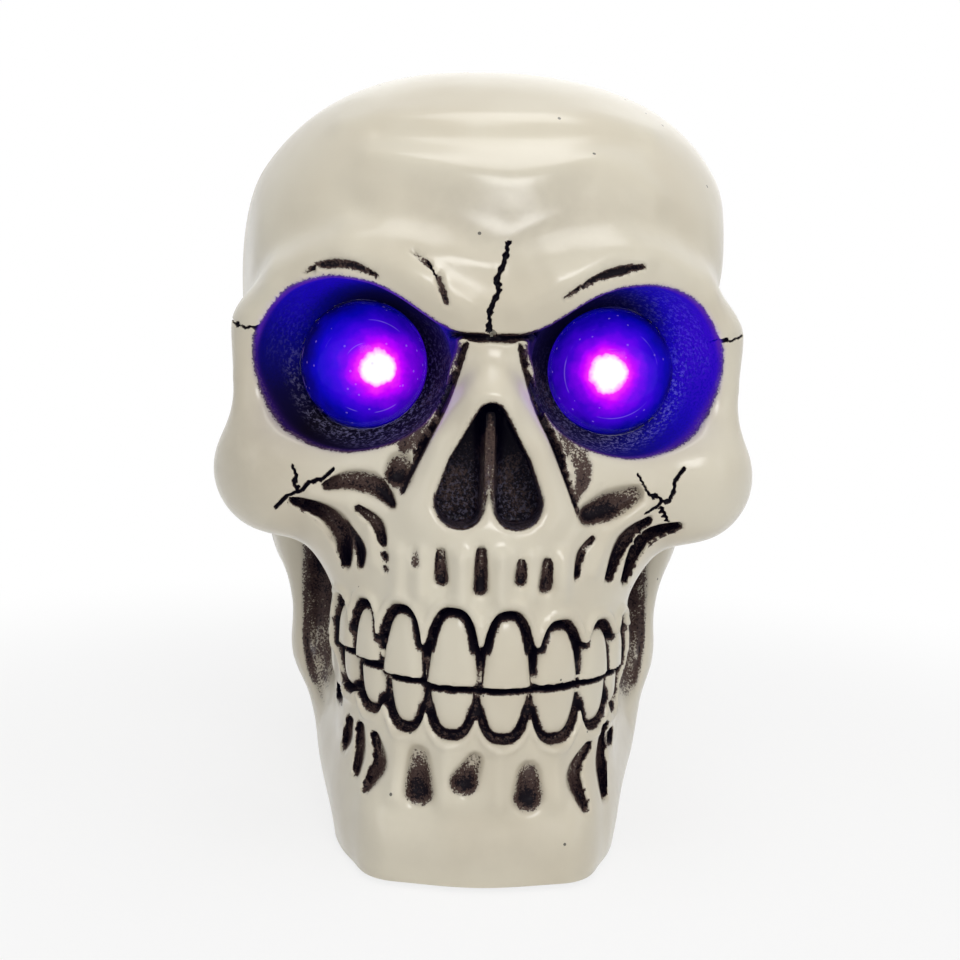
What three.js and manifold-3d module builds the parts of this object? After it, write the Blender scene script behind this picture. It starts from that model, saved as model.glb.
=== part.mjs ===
// Lit skull decoration: a hollow moulded skull in two shells, half-ball eyes lit from behind,
// and a battery base. Millimetres, +Z up, the face looks along -Y, the feet stand on z = 0.
import * as THREE from 'three';
import { mergeVertices } from 'three/addons/utils/BufferGeometryUtils.js';
import Module from 'manifold-3d';

const wasm = await Module();
wasm.setup();

// Form of the skull: place, radii, squareness (power) and how softly a feature blends in (blend).
// A path is a row of points [x, y, z, radius]. Features lie on the +X side and are mirrored.
const CRANIUM = { at: [0, 4, 109], radii: [56, 62, 55], power: 2.5 };
const FOREHEAD = { at: [0, -22, 121], radii: [46, 37, 33], blend: 12 };
const BROW = {
  path: [
    [0, -57, 111, 4], [12, -56.5, 115, 6], [25, -54, 117, 6], [38, -47, 114, 5.5], [45.2, -41, 106, 4.5],
  ],
  blend: 9,
};
const TEMPLE_HOLLOW = { at: [64, -20, 114], radii: [13, 27, 25], blend: 11 };
const ORBIT_SIDE = { path: [[45.2, -41, 106, 4.5], [46.6, -41, 96, 4.4], [45, -41, 84, 6]], blend: 6 };
const CHEEK = { at: [42.3, -39, 77], radii: [10.6, 13, 12], blend: 8 };
const ORBIT_FLOOR = {
  path: [
    [42, -45, 81, 4.5], [29, -49, 78, 4.5], [17, -51.5, 82, 4.5], [8.5, -53, 94, 4], [7, -54, 104, 4],
  ],
  blend: 7,
};
const CHEEK_ARCH = { path: [[47, -36, 77, 6], [51, -8, 78, 4.5], [50, 16, 80, 6]], blend: 9 };
const MID_FACE = { at: [18, -38, 72], radii: [19, 18, 20], blend: 10 };
const UPPER_JAW = { at: [0, -33, 58], radii: [30.6, 32.6], half: 24, round: 14, blend: 6 };
const NOSE_BRIDGE = { path: [[0, -54, 108, 3.5], [0, -58.5, 99, 4.5], [0, -61, 93, 5.5]], blend: 4 };
const NOSE_RIM = {
  path: [
    [0, -60.5, 93, 5], [7.5, -59.5, 85, 4.2], [11.5, -58, 73, 4.5], [7, -59, 68, 4.5], [0, -60, 67, 4.5],
  ],
  blend: 4,
};
const LOWER_JAW = { at: [0, -33, 20], radii: [29.4, 30.8], half: 32, round: 8, blend: 6 };
const CHIN = { at: [0, -48, 8], half: [23.6, 14, 12], round: 8, blend: 5 };
const JAW_EDGE = { path: [[18, -44, 8, 7.5], [27, -10, 15, 8.5], [34, 4, 32, 8]], blend: 8 };
const JAW_BRANCH = { path: [[34, 4, 32, 8], [41.5, 6, 62, 5]], blend: 6 };
const NECK = { at: [0, 12, 30], radii: [33, 44, 56], power: 3.2, blend: 14 };
const MASTOID = { at: [43, 18, 63], radii: [8, 11, 15], blend: 11 };
const JAW_HOLLOW = { at: [36.5, -15, 50], radii: [5.5, 15, 25], blend: 4 };
const ARCH_HOLLOW = { at: [47, -12, 88], radii: [6, 13, 11], blend: 6 };
const SOCKET = { at: [27, -52, 100], radii: [19.6, 21, 16.6] };
const SOCKET_CORNER = [[20, -60, 101.5, 9], [9.5, -60, 104.5, 2.5]];
const NOSE_OPENING = { path: [[0, 0, 90.8, 2.6], [3.6, 0, 81, 4.2], [5.4, 0, 74.6, 4.6]], back: -53 };
const SEPTUM = { thick: 2.2, front: -60 };

// Swellings that one side has alone: place, how far they reach and how high
const BOSSES = [
  { at: [41, -6, 143], reach: 20, height: 2.4 },
  { at: [-55, -8, 117], reach: 19, height: 3.4 },
];

// Pits in the cheeks, above the teeth and in the jaw, as seen from the front: a path is a row of
// points [x, z, radius]
const PITS = {
  cheekLeftUpper: {
    path: [[-31, 76.3, 0.6], [-26.3, 78.4, 1.5], [-21.3, 77.4, 1.6], [-18.3, 74, 0.6]],
    depth: 2.4,
  },
  cheekLeftRound: { path: [[-16.8, 81, 2.3], [-17.2, 79, 2.5]], depth: 2.2 },
  cheekLeftOuter: {
    path: [[-38, 73.1, 0.5], [-31.5, 71.4, 1.3], [-27.6, 67.4, 1.7], [-27.6, 60.7, 0.8]],
    depth: 3,
  },
  cheekLeftMiddle: { path: [[-27, 69.2, 0.5], [-24.2, 64.6, 1.2], [-24.2, 61.1, 0.7]], depth: 2 },
  cheekLeftInner: { path: [[-24.9, 72.6, 0.6], [-20.9, 69.7, 1.2], [-19.6, 65.9, 0.7]], depth: 2 },
  cheekRightOval: { path: [[19, 72.6, 1.6], [23.7, 74.4, 2.1], [28.6, 76.2, 1.3]], depth: 2.4 },
  cheekRightInner: { path: [[20.3, 67.9, 0.7], [17.9, 65, 1.2], [17.1, 60.4, 0.6]], depth: 2 },
  cheekRightMiddle: { path: [[31.8, 71, 0.7], [26.9, 67, 1.5], [24.2, 59.4, 0.7]], depth: 2.6 },
  cheekRightOuter: { path: [[38.4, 69.7, 0.6], [31, 66.6, 1.6], [28, 58.3, 0.8]], depth: 3 },
  rootSlotLeft: { path: [[-8.6, 65.4, 1], [-8.5, 60.4, 1.4]], depth: 1.6 },
  rootSlotMiddle: { path: [[-1.2, 66, 1], [-1.2, 59, 1.5]], depth: 1.8 },
  rootSlotRight: { path: [[6.3, 63.8, 0.8], [6.2, 60.6, 1.2]], depth: 1.4 },
  rootSlotOuter: { path: [[11.2, 63.8, 1], [10.9, 59.2, 1.4]], depth: 1.6 },
  chinLeft: { path: [[-11.9, 25.4, 2.1], [-11.7, 18.8, 2.8]], depth: 2.2 },
  chinMiddle: { path: [[-1.4, 25.4, 1.8], [-3.2, 21.4, 3]], depth: 2.2 },
  chinRight: { path: [[9.1, 23, 2], [9.1, 18.4, 3]], depth: 2.2 },
  jawLeftInner: { path: [[-20.6, 27.4, 0.8], [-19.4, 22.4, 1.4], [-22.3, 16.8, 0.7]], depth: 1.8 },
  jawLeftMiddle: { path: [[-23.6, 28.3, 0.7], [-23.6, 23.3, 1], [-24.4, 18.2, 0.6]], depth: 1.8 },
  jawRightInner: { path: [[21.3, 25.9, 0.8], [18.2, 21, 1.5], [20.6, 14.9, 0.8]], depth: 2 },
  jawRightMiddle: { path: [[25.1, 28.6, 0.7], [24.6, 21.9, 1.2], [25.5, 14.2, 0.7]], depth: 2 },
};
const PIT_WIDE = 1.3;
const PIT_TOUCH = 0.05;

// Teeth: they stand on an oval arch, and the band behind them is set back.
const UPPER_ARCH = { middle: -33, radii: [30, 32] };
const LOWER_ARCH = { middle: -33, radii: [29, 30.5] };
const UPPER_EDGES = [-75, -58, -41.5, -22, -1.5, 18.3, 38.6, 58.5, 75];
const UPPER_GUMS = [53, 53.8, 54.2, 54.6, 54.2, 52, 50.8, 50];
const UPPER_TIPS = [43.4, 42.6, 41, 40.2, 40, 40.2, 40, 40];
const LOWER_EDGES = [-73, -56, -39, -21.5, -2.5, 18, 40.5, 60, 74];
const LOWER_TIPS = [42.2, 41.2, 39.9, 39, 38.8, 38.8, 38.8, 38.8];
const LOWER_GUMS = [34.5, 32.5, 30.5, 30, 29.4, 28.6, 29.6, 31];
const TOOTH_GAP = 0.9;
const TOOTH_DEPTH = 5;
const TOOTH_ROUND = 1.3;
const TOOTH_SHOULDER = 0.4;
const TOOTH_BAND = { low: 30, high: 53, depth: 2.8, back: -30, blend: 1.5 };

// Shells
const SHELL_WALL = 3.6;
const FLOOR_THICK = 5.2;
const STAND = 1;
const SEAM_Y = 10;
const SEAM_GAP = 0.3;
const FIT = 0.3;
const PAST = 1;

// Facets: how wide they are up to each limit along an axis, finest on the face
const FACE_FACETS = {
  x: [[34, 4.6], [Infinity, 6.4]],
  y: [[-34, 4.6], [Infinity, 8]],
  z: [[26, 6], [122, 4.6], [Infinity, 9]],
};
const REAR_FACETS = { x: [[Infinity, 9]], y: [[Infinity, 9]], z: [[Infinity, 9]] };
const HOLLOW_FACETS = { x: [[Infinity, 10.2]], y: [[Infinity, 10.2]], z: [[Infinity, 10.2]] };
const GRID_MARGIN = 24;
const SETTLE_STEP = 0.05;
const SETTLE_STEEP = 0.5;
const SETTLE_REACH = 0.8;

// Eyes and lamps
const DOME_RADIUS = 12.8;
const DOME_WALL = 1.6;
const DOME_SKIRT = 5;
const DOME_FLANGE = 1.2;
const DOME_FLANGE_THICK = 1.6;
const EYE_INSET = 16;
const EYE_DROP = 0.4;
const EYE_INWARD = 1.6;
const SEAT_WALL = 2;
const HOLDER_THICK = 3.2;
const LED_RADIUS = 2.5;
const LED_LENGTH = 8.6;
const LED_RIM = 0.5;
const LED_RIM_THICK = 1;
const LEG_SIZE = 0.6;
const LEG_LENGTH = 6;
const LEG_PITCH = 2.54;

// Base plate, feet and screws
const PLATE_CORNER = 9;
const PLATE_THICK = 3.2;
const LEDGE = 6;
const OPENING_ROOM = 2;
const FOOT_RADIUS = 3.6;
const FOOT_THICK = 2.2;
const FOOT_INSET = 5.4;
const FOOT_EDGE = 0.5;
const SCREW_RADIUS = 1.3;
const SCREW_HEAD = 2.4;
const SCREW_LENGTH = 11;
const SCREW_INSET = 20;
const SCREW_RIM = 0.3;
const POST_WALL = 2.2;
const POST_HEIGHT = 6.5;

// Batteries, tray and door
const CELL_RADIUS = 5.25;
const CELL_LENGTH = 44.5;
const CELL_NUB = 1.2;
const CELL_NUB_RADIUS = 1.9;
const CELL_EDGE = 0.4;
const CELL_COUNT = 3;
const CELL_PITCH = 11;
const SPRING_LENGTH = 5;
const SPRING_RADIUS = 2.9;
const SPRING_WIRE = 0.6;
const SPRING_CURLS = 4;
const CONTACT_SIZE = 8;
const CONTACT_THICK = 0.5;
const TRAY_WALL = 1.6;
const TRAY_FRONT = -31;
const DOOR_THICK = 1.5;
const DOOR_LAP = 2;
const DOOR_TONGUE = 9;
const DOOR_GAP = 0.2;
const TAB_LENGTH = 2;
const TAB_WIDTH = 6;
const TAB_THICK = 0.6;
const TAB_SPREAD = 16;
const DOOR_SCREW_RADIUS = 1.1;
const DOOR_SCREW_LENGTH = 6;
const DOOR_SCREW_PLAY = 0.6;
const BOSS_WALL = 1.6;

// Board and switch
const BOARD = [32, 13.4, 1.6];
const BOARD_SETBACK = 4.3;
const PILLAR_RADIUS = 2.5;
const PILLAR_SPREAD = 25;
const BOARD_SCREW_RADIUS = 0.8;
const BOARD_SCREW_HEAD = 1.8;
const BOARD_SCREW_HEAD_THICK = 1.2;
const BOARD_SCREW_LENGTH = 5;
const CHIP = [5, 4, 1.5];
const CHIP_AT = [-3, 2];
const RESISTOR = [3.2, 1.6, 0.7];
const RESISTOR_AT = [5, 3.4];
const SWITCH_BODY = [8.6, 4.4, 4.4];
const SWITCH_TRAVEL = 2;
const KNOB = [2.6, 2];
const KNOB_TIP = 0.4;
const KNOB_ROOT = 2.4;

// Cables: flat twin leads, width and thickness, and their routes on the +X side
const CABLE = [2.4, 1.3];
const CABLE_STEPS = 16;
const LED_ROUTE = [[25, -8, 97], [22, 8, 86], [15, 26, 58], [9, 36, 32], [7.5, 38, 18]];
const LEAD_INSET = 3.55;
const LEAD_RISE = 3;

// Finishes
const IVORY = new THREE.MeshStandardMaterial({ color: 0xdad5c5, roughness: 0.35, metalness: 0 });
const LENS = new THREE.MeshStandardMaterial({ color: 0x3a2bd8, roughness: 0.15, metalness: 0 });
const BLACK = new THREE.MeshStandardMaterial({ color: 0x1d1c20, roughness: 0.5, metalness: 0 });
const RUBBER = new THREE.MeshStandardMaterial({ color: 0x2b2a2c, roughness: 0.8, metalness: 0 });
const STEEL = new THREE.MeshStandardMaterial({ color: 0xb9bcc0, roughness: 0.3, metalness: 1 });
const BOARD_GREEN = new THREE.MeshStandardMaterial({ color: 0x2f5d43, roughness: 0.5, metalness: 0 });
const LAMP = new THREE.MeshStandardMaterial({ color: 0xe9e4ff, roughness: 0.1, metalness: 0 });
const JACKET = new THREE.MeshStandardMaterial({ color: 0xb4262a, roughness: 0.45, metalness: 0 });
const CELL_WRAP = new THREE.MeshStandardMaterial({ color: 0x6f7478, roughness: 0.3, metalness: 0.2 });

// Distances to simple forms, negative inside
function ellipsoid(x, y, z, at, radii) {
  const p = [(x - at[0]) / radii[0], (y - at[1]) / radii[1], (z - at[2]) / radii[2]];
  const near = Math.hypot(...p) + 1e-9;
  const slope = Math.hypot(p[0] / radii[0], p[1] / radii[1], p[2] / radii[2]) + 1e-9;
  return near * (near - 1) / slope;
}

function squareEllipsoid(x, y, z, at, radii, power) {
  const p = [x, y, z].map((v, a) => Math.abs(v - at[a]) / radii[a] + 1e-6);
  const sum = p.reduce((total, v) => total + v ** power, 0);
  const steep = Math.hypot(...p.map((v, a) => v ** (power - 1) / radii[a])) * sum ** (1 / power - 1);
  return (sum ** (1 / power) - 1) / steep;
}

function capsule(x, y, z, a, b) {
  const d = [b[0] - a[0], b[1] - a[1], b[2] - a[2]];
  const along = (x - a[0]) * d[0] + (y - a[1]) * d[1] + (z - a[2]) * d[2];
  const t = Math.min(1, Math.max(0, along / (d[0] ** 2 + d[1] ** 2 + d[2] ** 2)));
  const gap = Math.hypot(x - a[0] - t * d[0], y - a[1] - t * d[1], z - a[2] - t * d[2]);
  return gap - a[3] - (b[3] - a[3]) * t;
}

function ridge(x, y, z, path) {
  let least = Infinity;
  for (let i = 1; i < path.length; i += 1) {
    least = Math.min(least, capsule(x, y, z, path[i - 1], path[i]));
  }
  return least;
}

function drum(x, y, z, form) {
  const [rx, ry] = form.radii;
  const px = (x - form.at[0]) / rx;
  const py = (y - form.at[1]) / ry;
  const near = Math.hypot(px, py) + 1e-9;
  const side = near * (near - 1) / (Math.hypot(px / rx, py / ry) + 1e-9) + form.round;
  const end = Math.abs(z - form.at[2]) - form.half + form.round;
  return Math.hypot(Math.max(side, 0), Math.max(end, 0)) + Math.min(Math.max(side, end), 0) - form.round;
}

function roundBox(x, y, z, form) {
  const q = [x, y, z].map((v, a) => Math.abs(v - form.at[a]) - form.half[a] + form.round);
  const out = Math.hypot(Math.max(q[0], 0), Math.max(q[1], 0), Math.max(q[2], 0));
  return out + Math.min(Math.max(...q), 0) - form.round;
}

function join(a, b, blend) {
  const h = Math.max(blend - Math.abs(a - b), 0) / blend;
  return Math.min(a, b) - h * h * blend / 4;
}

function carve(a, b, blend) {
  return -join(-a, b, blend);
}

// The skull's outer form without its teeth, sockets and pits
function skullForm(side, y, z) {
  const x = Math.abs(side);
  const addEllipsoid = (d, form) => join(d, ellipsoid(x, y, z, form.at, form.radii), form.blend);
  const addRidge = (d, form) => join(d, ridge(x, y, z, form.path), form.blend);
  const cutEllipsoid = (d, form) => carve(d, ellipsoid(x, y, z, form.at, form.radii), form.blend);
  let d = squareEllipsoid(x, y, z, CRANIUM.at, CRANIUM.radii, CRANIUM.power);
  d = addEllipsoid(d, FOREHEAD);
  d = addRidge(d, BROW);
  d = cutEllipsoid(d, TEMPLE_HOLLOW);
  d = addRidge(d, ORBIT_SIDE);
  d = addEllipsoid(d, CHEEK);
  d = addRidge(d, ORBIT_FLOOR);
  d = addRidge(d, CHEEK_ARCH);
  d = addEllipsoid(d, MID_FACE);
  d = join(d, drum(x, y, z, UPPER_JAW), UPPER_JAW.blend);
  d = addRidge(d, NOSE_BRIDGE);
  d = addRidge(d, NOSE_RIM);
  d = join(d, drum(x, y, z, LOWER_JAW), LOWER_JAW.blend);
  d = join(d, roundBox(x, y, z, CHIN), CHIN.blend);
  d = addRidge(d, JAW_EDGE);
  d = addRidge(d, JAW_BRANCH);
  d = join(d, squareEllipsoid(x, y, z, NECK.at, NECK.radii, NECK.power), NECK.blend);
  d = addEllipsoid(d, MASTOID);
  d = cutEllipsoid(d, JAW_HOLLOW);
  d = cutEllipsoid(d, ARCH_HOLLOW);
  BOSSES.forEach(({ at, reach, height }) => {
    const away = Math.hypot(side - at[0], y - at[1], z - at[2]) / reach;
    d -= height * Math.exp(-away * away);
  });
  return carve(d, toothBand(x, y, z), TOOTH_BAND.blend);
}

// The band that is set back behind both rows of teeth
function toothBand(x, y, z) {
  const core = {
    at: [0, UPPER_ARCH.middle, 0],
    radii: UPPER_ARCH.radii.map((r) => r - TOOTH_BAND.depth),
    half: CRANIUM.radii[2] * 4,
    round: 1,
  };
  const level = Math.max(TOOTH_BAND.low - z, z - TOOTH_BAND.high);
  return Math.max(level, -drum(x, y, z, core), y - TOOTH_BAND.back);
}

// Places of the grid lines between two ends, and the same mirrored about zero
function lines(from, to, bands) {
  const places = [from];
  bands.forEach(([limit, step]) => {
    while (places[places.length - 1] < Math.min(limit, to)) {
      places.push(places[places.length - 1] + step);
    }
  });
  return places;
}

function mirroredLines(to, bands) {
  const half = lines(bands[0][1] / 2, to, bands);
  return [...half.map((v) => -v).reverse(), ...half];
}

// Closed mesh of a form on a grid: one point in each cell that the surface crosses
function meshOf(form, grid) {
  const count = grid.map((places) => places.length);
  const stride = [count[1] * count[2], count[2], 1];
  const value = new Float64Array(count[0] * count[1] * count[2]);
  const eachNode = (visit) => {
    for (let i = 0; i < count[0]; i += 1) {
      for (let j = 0; j < count[1]; j += 1) {
        for (let k = 0; k < count[2]; k += 1) {
          visit([i, j, k], i * stride[0] + j * stride[1] + k);
        }
      }
    }
  };
  eachNode((node, n) => {
    value[n] = form(...node.map((m, a) => grid[a][m]));
  });
  closePinches(value, count, stride);
  const points = [];
  const pointOf = new Int32Array(value.length).fill(-1);
  eachNode((node, n) => {
    const share = node.every((m, a) => m < count[a] - 1) && cellPoint(value, stride, n);
    if (share) {
      pointOf[n] = points.length / 3;
      const point = node.map((m, a) => grid[a][m] + share[a] * (grid[a][m + 1] - grid[a][m]));
      points.push(...settled(form, point));
    }
  });
  const triangles = [];
  eachNode((node, n) => {
    for (let a = 0; a < 3; a += 1) {
      const b = (a + 1) % 3;
      const c = (a + 2) % 3;
      const inner = node[a] < count[a] - 1 && node[b] > 0 && node[c] > 0;
      if (inner && (value[n] < 0) !== (value[n + stride[a]] < 0)) {
        const cells = [n - stride[b] - stride[c], n - stride[c], n, n - stride[b]];
        const corner = cells.map((m) => pointOf[m]);
        addQuad(triangles, points, value[n] < 0 ? corner : corner.reverse());
      }
    }
  });
  const geometry = new THREE.BufferGeometry();
  geometry.setAttribute('position', new THREE.Float32BufferAttribute(points, 3));
  geometry.setIndex(triangles);
  return geometry;
}

// Where the surface crosses a cell, as shares of the cell's edges, or null
function cellPoint(value, stride, n) {
  const sum = [0, 0, 0];
  let hits = 0;
  for (let corner = 0; corner < 8; corner += 1) {
    const bits = [corner & 1, (corner >> 1) & 1, (corner >> 2) & 1];
    const from = n + bits[0] * stride[0] + bits[1] * stride[1] + bits[2] * stride[2];
    for (let a = 0; a < 3; a += 1) {
      if (bits[a] === 0) {
        const s = value[from];
        const e = value[from + stride[a]];
        if ((s < 0) !== (e < 0)) {
          bits.forEach((bit, axis) => {
            sum[axis] += axis === a ? s / (s - e) : bit;
          });
          hits += 1;
        }
      }
    }
  }
  return hits ? sum.map((v) => v / hits) : null;
}

// A point of the mesh, moved onto the form itself
function settled(form, point) {
  const value = form(...point);
  const slope = point.map((_, a) => {
    const ahead = point.map((v, b) => (a === b ? v + SETTLE_STEP : v));
    return (form(...ahead) - value) / SETTLE_STEP;
  });
  const steep = Math.max(Math.hypot(...slope), SETTLE_STEEP);
  const move = Math.min(SETTLE_REACH, Math.max(-SETTLE_REACH, value / steep));
  return point.map((v, a) => v - move * slope[a] / steep);
}

// Corners that touch only across a diagonal are joined, so that the surface stays one clean sheet
function closePinches(value, count, stride) {
  let changed = true;
  while (changed) {
    changed = false;
    for (let n = 0; n < value.length; n += 1) {
      const place = [Math.floor(n / stride[0]), Math.floor(n / stride[1]) % count[1], n % count[2]];
      for (let a = 0; a < 3; a += 1) {
        const b = (a + 1) % 3;
        if (place[a] < count[a] - 1 && place[b] < count[b] - 1) {
          const face = [n, n + stride[a], n + stride[b], n + stride[a] + stride[b]];
          const [p, q, r, s] = face.map((m) => value[m] < 0);
          if (p === s && q === r && p !== q) {
            value[p ? face[1] : face[0]] *= -0.5;
            changed = true;
          }
        }
      }
    }
  }
}

// A quad is split along its shorter diagonal
function addQuad(triangles, points, [a, b, c, d]) {
  const span = (m, n) => Math.hypot(...[0, 1, 2].map((i) => points[3 * m + i] - points[3 * n + i]));
  if (span(a, c) <= span(b, d)) {
    triangles.push(a, b, c, a, c, d);
  } else {
    triangles.push(a, b, d, b, c, d);
  }
}

// Geometry to a solid for joining and cutting, and back
function solid(geometry) {
  const bare = new THREE.BufferGeometry();
  bare.setAttribute('position', geometry.getAttribute('position').clone());
  bare.setIndex(geometry.getIndex());
  const merged = mergeVertices(bare, 1e-4);
  const at = merged.getAttribute('position').array;
  const order = Array.from(merged.getIndex().array);
  let volume = 0;
  for (let i = 0; i < order.length; i += 3) {
    const [a, b, c] = [0, 1, 2].map((n) => new THREE.Vector3().fromArray(at, 3 * order[i + n]));
    volume += a.dot(b.cross(c));
  }
  const triVerts = new Uint32Array(volume < 0 ? order.reverse() : order);
  const vertProperties = new Float32Array(at);
  return new wasm.Manifold(new wasm.Mesh({ numProp: 3, vertProperties, triVerts }));
}

function geometryOf(manifold) {
  const mesh = manifold.getMesh();
  const geometry = new THREE.BufferGeometry();
  geometry.setAttribute('position', new THREE.Float32BufferAttribute(mesh.vertProperties, 3));
  geometry.setIndex(Array.from(mesh.triVerts));
  geometry.computeVertexNormals();
  return geometry;
}

function joinAll(first, more) {
  return more.reduce((whole, next) => whole.add(next), first);
}

function cutAll(first, more) {
  return more.reduce((whole, next) => whole.subtract(next), first);
}

// Simple solids
function block(low, high) {
  const size = high.map((v, a) => v - low[a]);
  const middle = high.map((v, a) => (v + low[a]) / 2);
  return solid(new THREE.BoxGeometry(...size).translate(...middle));
}

function column(x, y, low, high, radius, sides = 12) {
  const geometry = new THREE.CylinderGeometry(radius, radius, high - low, sides).rotateX(Math.PI / 2);
  return solid(geometry.translate(x, y, (low + high) / 2));
}

function tunnel(x, z, front, back, radius) {
  const geometry = new THREE.CylinderGeometry(radius, radius, back - front, 24);
  return solid(geometry.translate(x, (front + back) / 2, z));
}

function roundPlate(half, front, back, corner, low, high) {
  const [right, near, far] = [half - corner, front + corner, back - corner];
  const outline = new THREE.Shape();
  outline.absarc(right, far, corner, 0, Math.PI / 2);
  outline.absarc(-right, far, corner, Math.PI / 2, Math.PI);
  outline.absarc(-right, near, corner, Math.PI, 1.5 * Math.PI);
  outline.absarc(right, near, corner, 1.5 * Math.PI, 2 * Math.PI);
  const options = { depth: high - low, bevelEnabled: false, curveSegments: 4 };
  return solid(new THREE.ExtrudeGeometry(outline, options).translate(0, 0, low));
}

function turned(profile, sides) {
  return new THREE.LatheGeometry(profile.map((p) => new THREE.Vector2(...p)), sides);
}

// Points of a round end in a turned profile: [radius, height]
function arc(radius, from, to, steps, lift = 0) {
  return Array.from({ length: steps + 1 }, (_, i) => {
    const turn = from + (to - from) * i / steps;
    return [Math.max(radius * Math.sin(turn), 0), lift + radius * Math.cos(turn)];
  });
}

// Flat-headed screw, head down at z = 0, and the hole that it needs
function screwProfile(shank, head, length, play) {
  const wide = head + play;
  const slim = shank + play;
  const coneEnd = SCREW_RIM + head - shank;
  const end = length + play;
  return [[0, -play], [wide, -play], [wide, SCREW_RIM], [slim, coneEnd], [slim, end], [0, end]];
}

function screw(shank, head, length, play = 0) {
  return turned(screwProfile(shank, head, length, play), 12).rotateX(Math.PI / 2);
}

// A tooth on its arch: flat at the tip, round at the gum
function tooth(arch, edges, gum, tip) {
  const turn = THREE.MathUtils.degToRad((edges[0] + edges[1]) / 2);
  const [a, b] = arch.radii;
  const pace = new THREE.Vector3(a * Math.cos(turn), b * Math.sin(turn), 0);
  const width = THREE.MathUtils.degToRad(edges[1] - edges[0]) * pace.length() - TOOTH_GAP;
  const half = width / 2;
  const tall = gum - tip;
  const shoulder = tall * TOOTH_SHOULDER;
  const outline = new THREE.Shape();
  outline.moveTo(-half, 0);
  outline.lineTo(half, 0);
  outline.lineTo(half, shoulder);
  outline.bezierCurveTo(half, 2 * shoulder, half / 2, tall, 0, tall);
  outline.bezierCurveTo(-half / 2, tall, -half, 2 * shoulder, -half, shoulder);
  const options = {
    depth: TOOTH_DEPTH - TOOTH_ROUND,
    bevelThickness: TOOTH_ROUND,
    bevelSize: TOOTH_ROUND,
    bevelOffset: -TOOTH_ROUND,
    bevelSegments: 1,
    curveSegments: 3,
  };
  const geometry = new THREE.ExtrudeGeometry(outline, options).translate(0, 0, -TOOTH_DEPTH);
  const across = pace.normalize();
  const up = new THREE.Vector3(0, 0, 1);
  const out = new THREE.Vector3().crossVectors(across, up);
  const frame = new THREE.Matrix4().makeBasis(across, up, out);
  frame.setPosition(a * Math.sin(turn), arch.middle - b * Math.cos(turn), tip);
  return solid(geometry.applyMatrix4(frame));
}

function teeth() {
  const row = (arch, edges, gums, tips) => gums.map((gum, i) => {
    const sides = [edges[i], edges[i + 1]];
    return tooth(arch, sides, gum, tips[i]);
  });
  return [
    ...row(UPPER_ARCH, UPPER_EDGES, UPPER_GUMS, UPPER_TIPS),
    ...row(LOWER_ARCH, LOWER_EDGES, LOWER_GUMS, LOWER_TIPS),
  ];
}

// The nose opening: a narrow top and two round lobes, cut straight in
function noseOpening() {
  const [top, middle, lobe] = NOSE_OPENING.path;
  const on = ([x, , z, r], degrees) => {
    const turn = THREE.MathUtils.degToRad(degrees);
    return new THREE.Vector2(x + r * Math.cos(turn), z + r * Math.sin(turn));
  };
  const rim = [on(top, 20), on(middle, 10), on(lobe, 0), on(lobe, -45), on(lobe, -90), on(lobe, -140)];
  const notch = new THREE.Vector2(0, lobe[2] - lobe[3] / 2);
  const mirrored = rim.map((p) => new THREE.Vector2(-p.x, p.y)).reverse();
  const outline = new THREE.Shape();
  outline.moveTo(0, top[2] + top[3]);
  outline.splineThru([...rim, notch]);
  outline.splineThru([...mirrored, new THREE.Vector2(0, top[2] + top[3])]);
  const depth = NOSE_OPENING.back - reachFront;
  const geometry = new THREE.ExtrudeGeometry(outline, { depth, bevelEnabled: false, curveSegments: 6 });
  return solid(geometry.rotateX(Math.PI / 2).translate(0, NOSE_OPENING.back, 0));
}

// What cuts the eye sockets: a bowl with a corner drawn out towards the nose
function socketTools() {
  const bowl = new THREE.SphereGeometry(1, 20, 12).scale(...SOCKET.radii).translate(...SOCKET.at);
  const corner = SOCKET_CORNER.map(([x, y, z, radius]) => {
    return solid(new THREE.SphereGeometry(radius, 10, 8).translate(x, y, z));
  });
  const right = solid(bowl).add(wasm.Manifold.hull(corner));
  return [right, right.mirror([1, 0, 0])];
}

// Where the face lies behind a place seen from the front
function faceAt(x, z) {
  let y = reachFront;
  while (skullForm(x, y, z) > PIT_TOUCH && y < SEAM_Y) {
    y += skullForm(x, y, z) / 2;
  }
  return y;
}

// What cuts a pit: pointed bits along its path, shallower where it is narrower
function pitTools() {
  return Object.values(PITS).flatMap(({ path, depth }) => {
    const widest = Math.max(...path.map(([, , radius]) => radius));
    const bits = path.map(([x, z, radius]) => {
      const wide = radius * PIT_WIDE;
      const bit = new THREE.OctahedronGeometry(1).scale(wide, depth * radius / widest, wide);
      return solid(bit.translate(x, faceAt(x, z), z));
    });
    return bits.slice(1).map((bit, i) => wasm.Manifold.hull([bits[i], bit]));
  });
}

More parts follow.
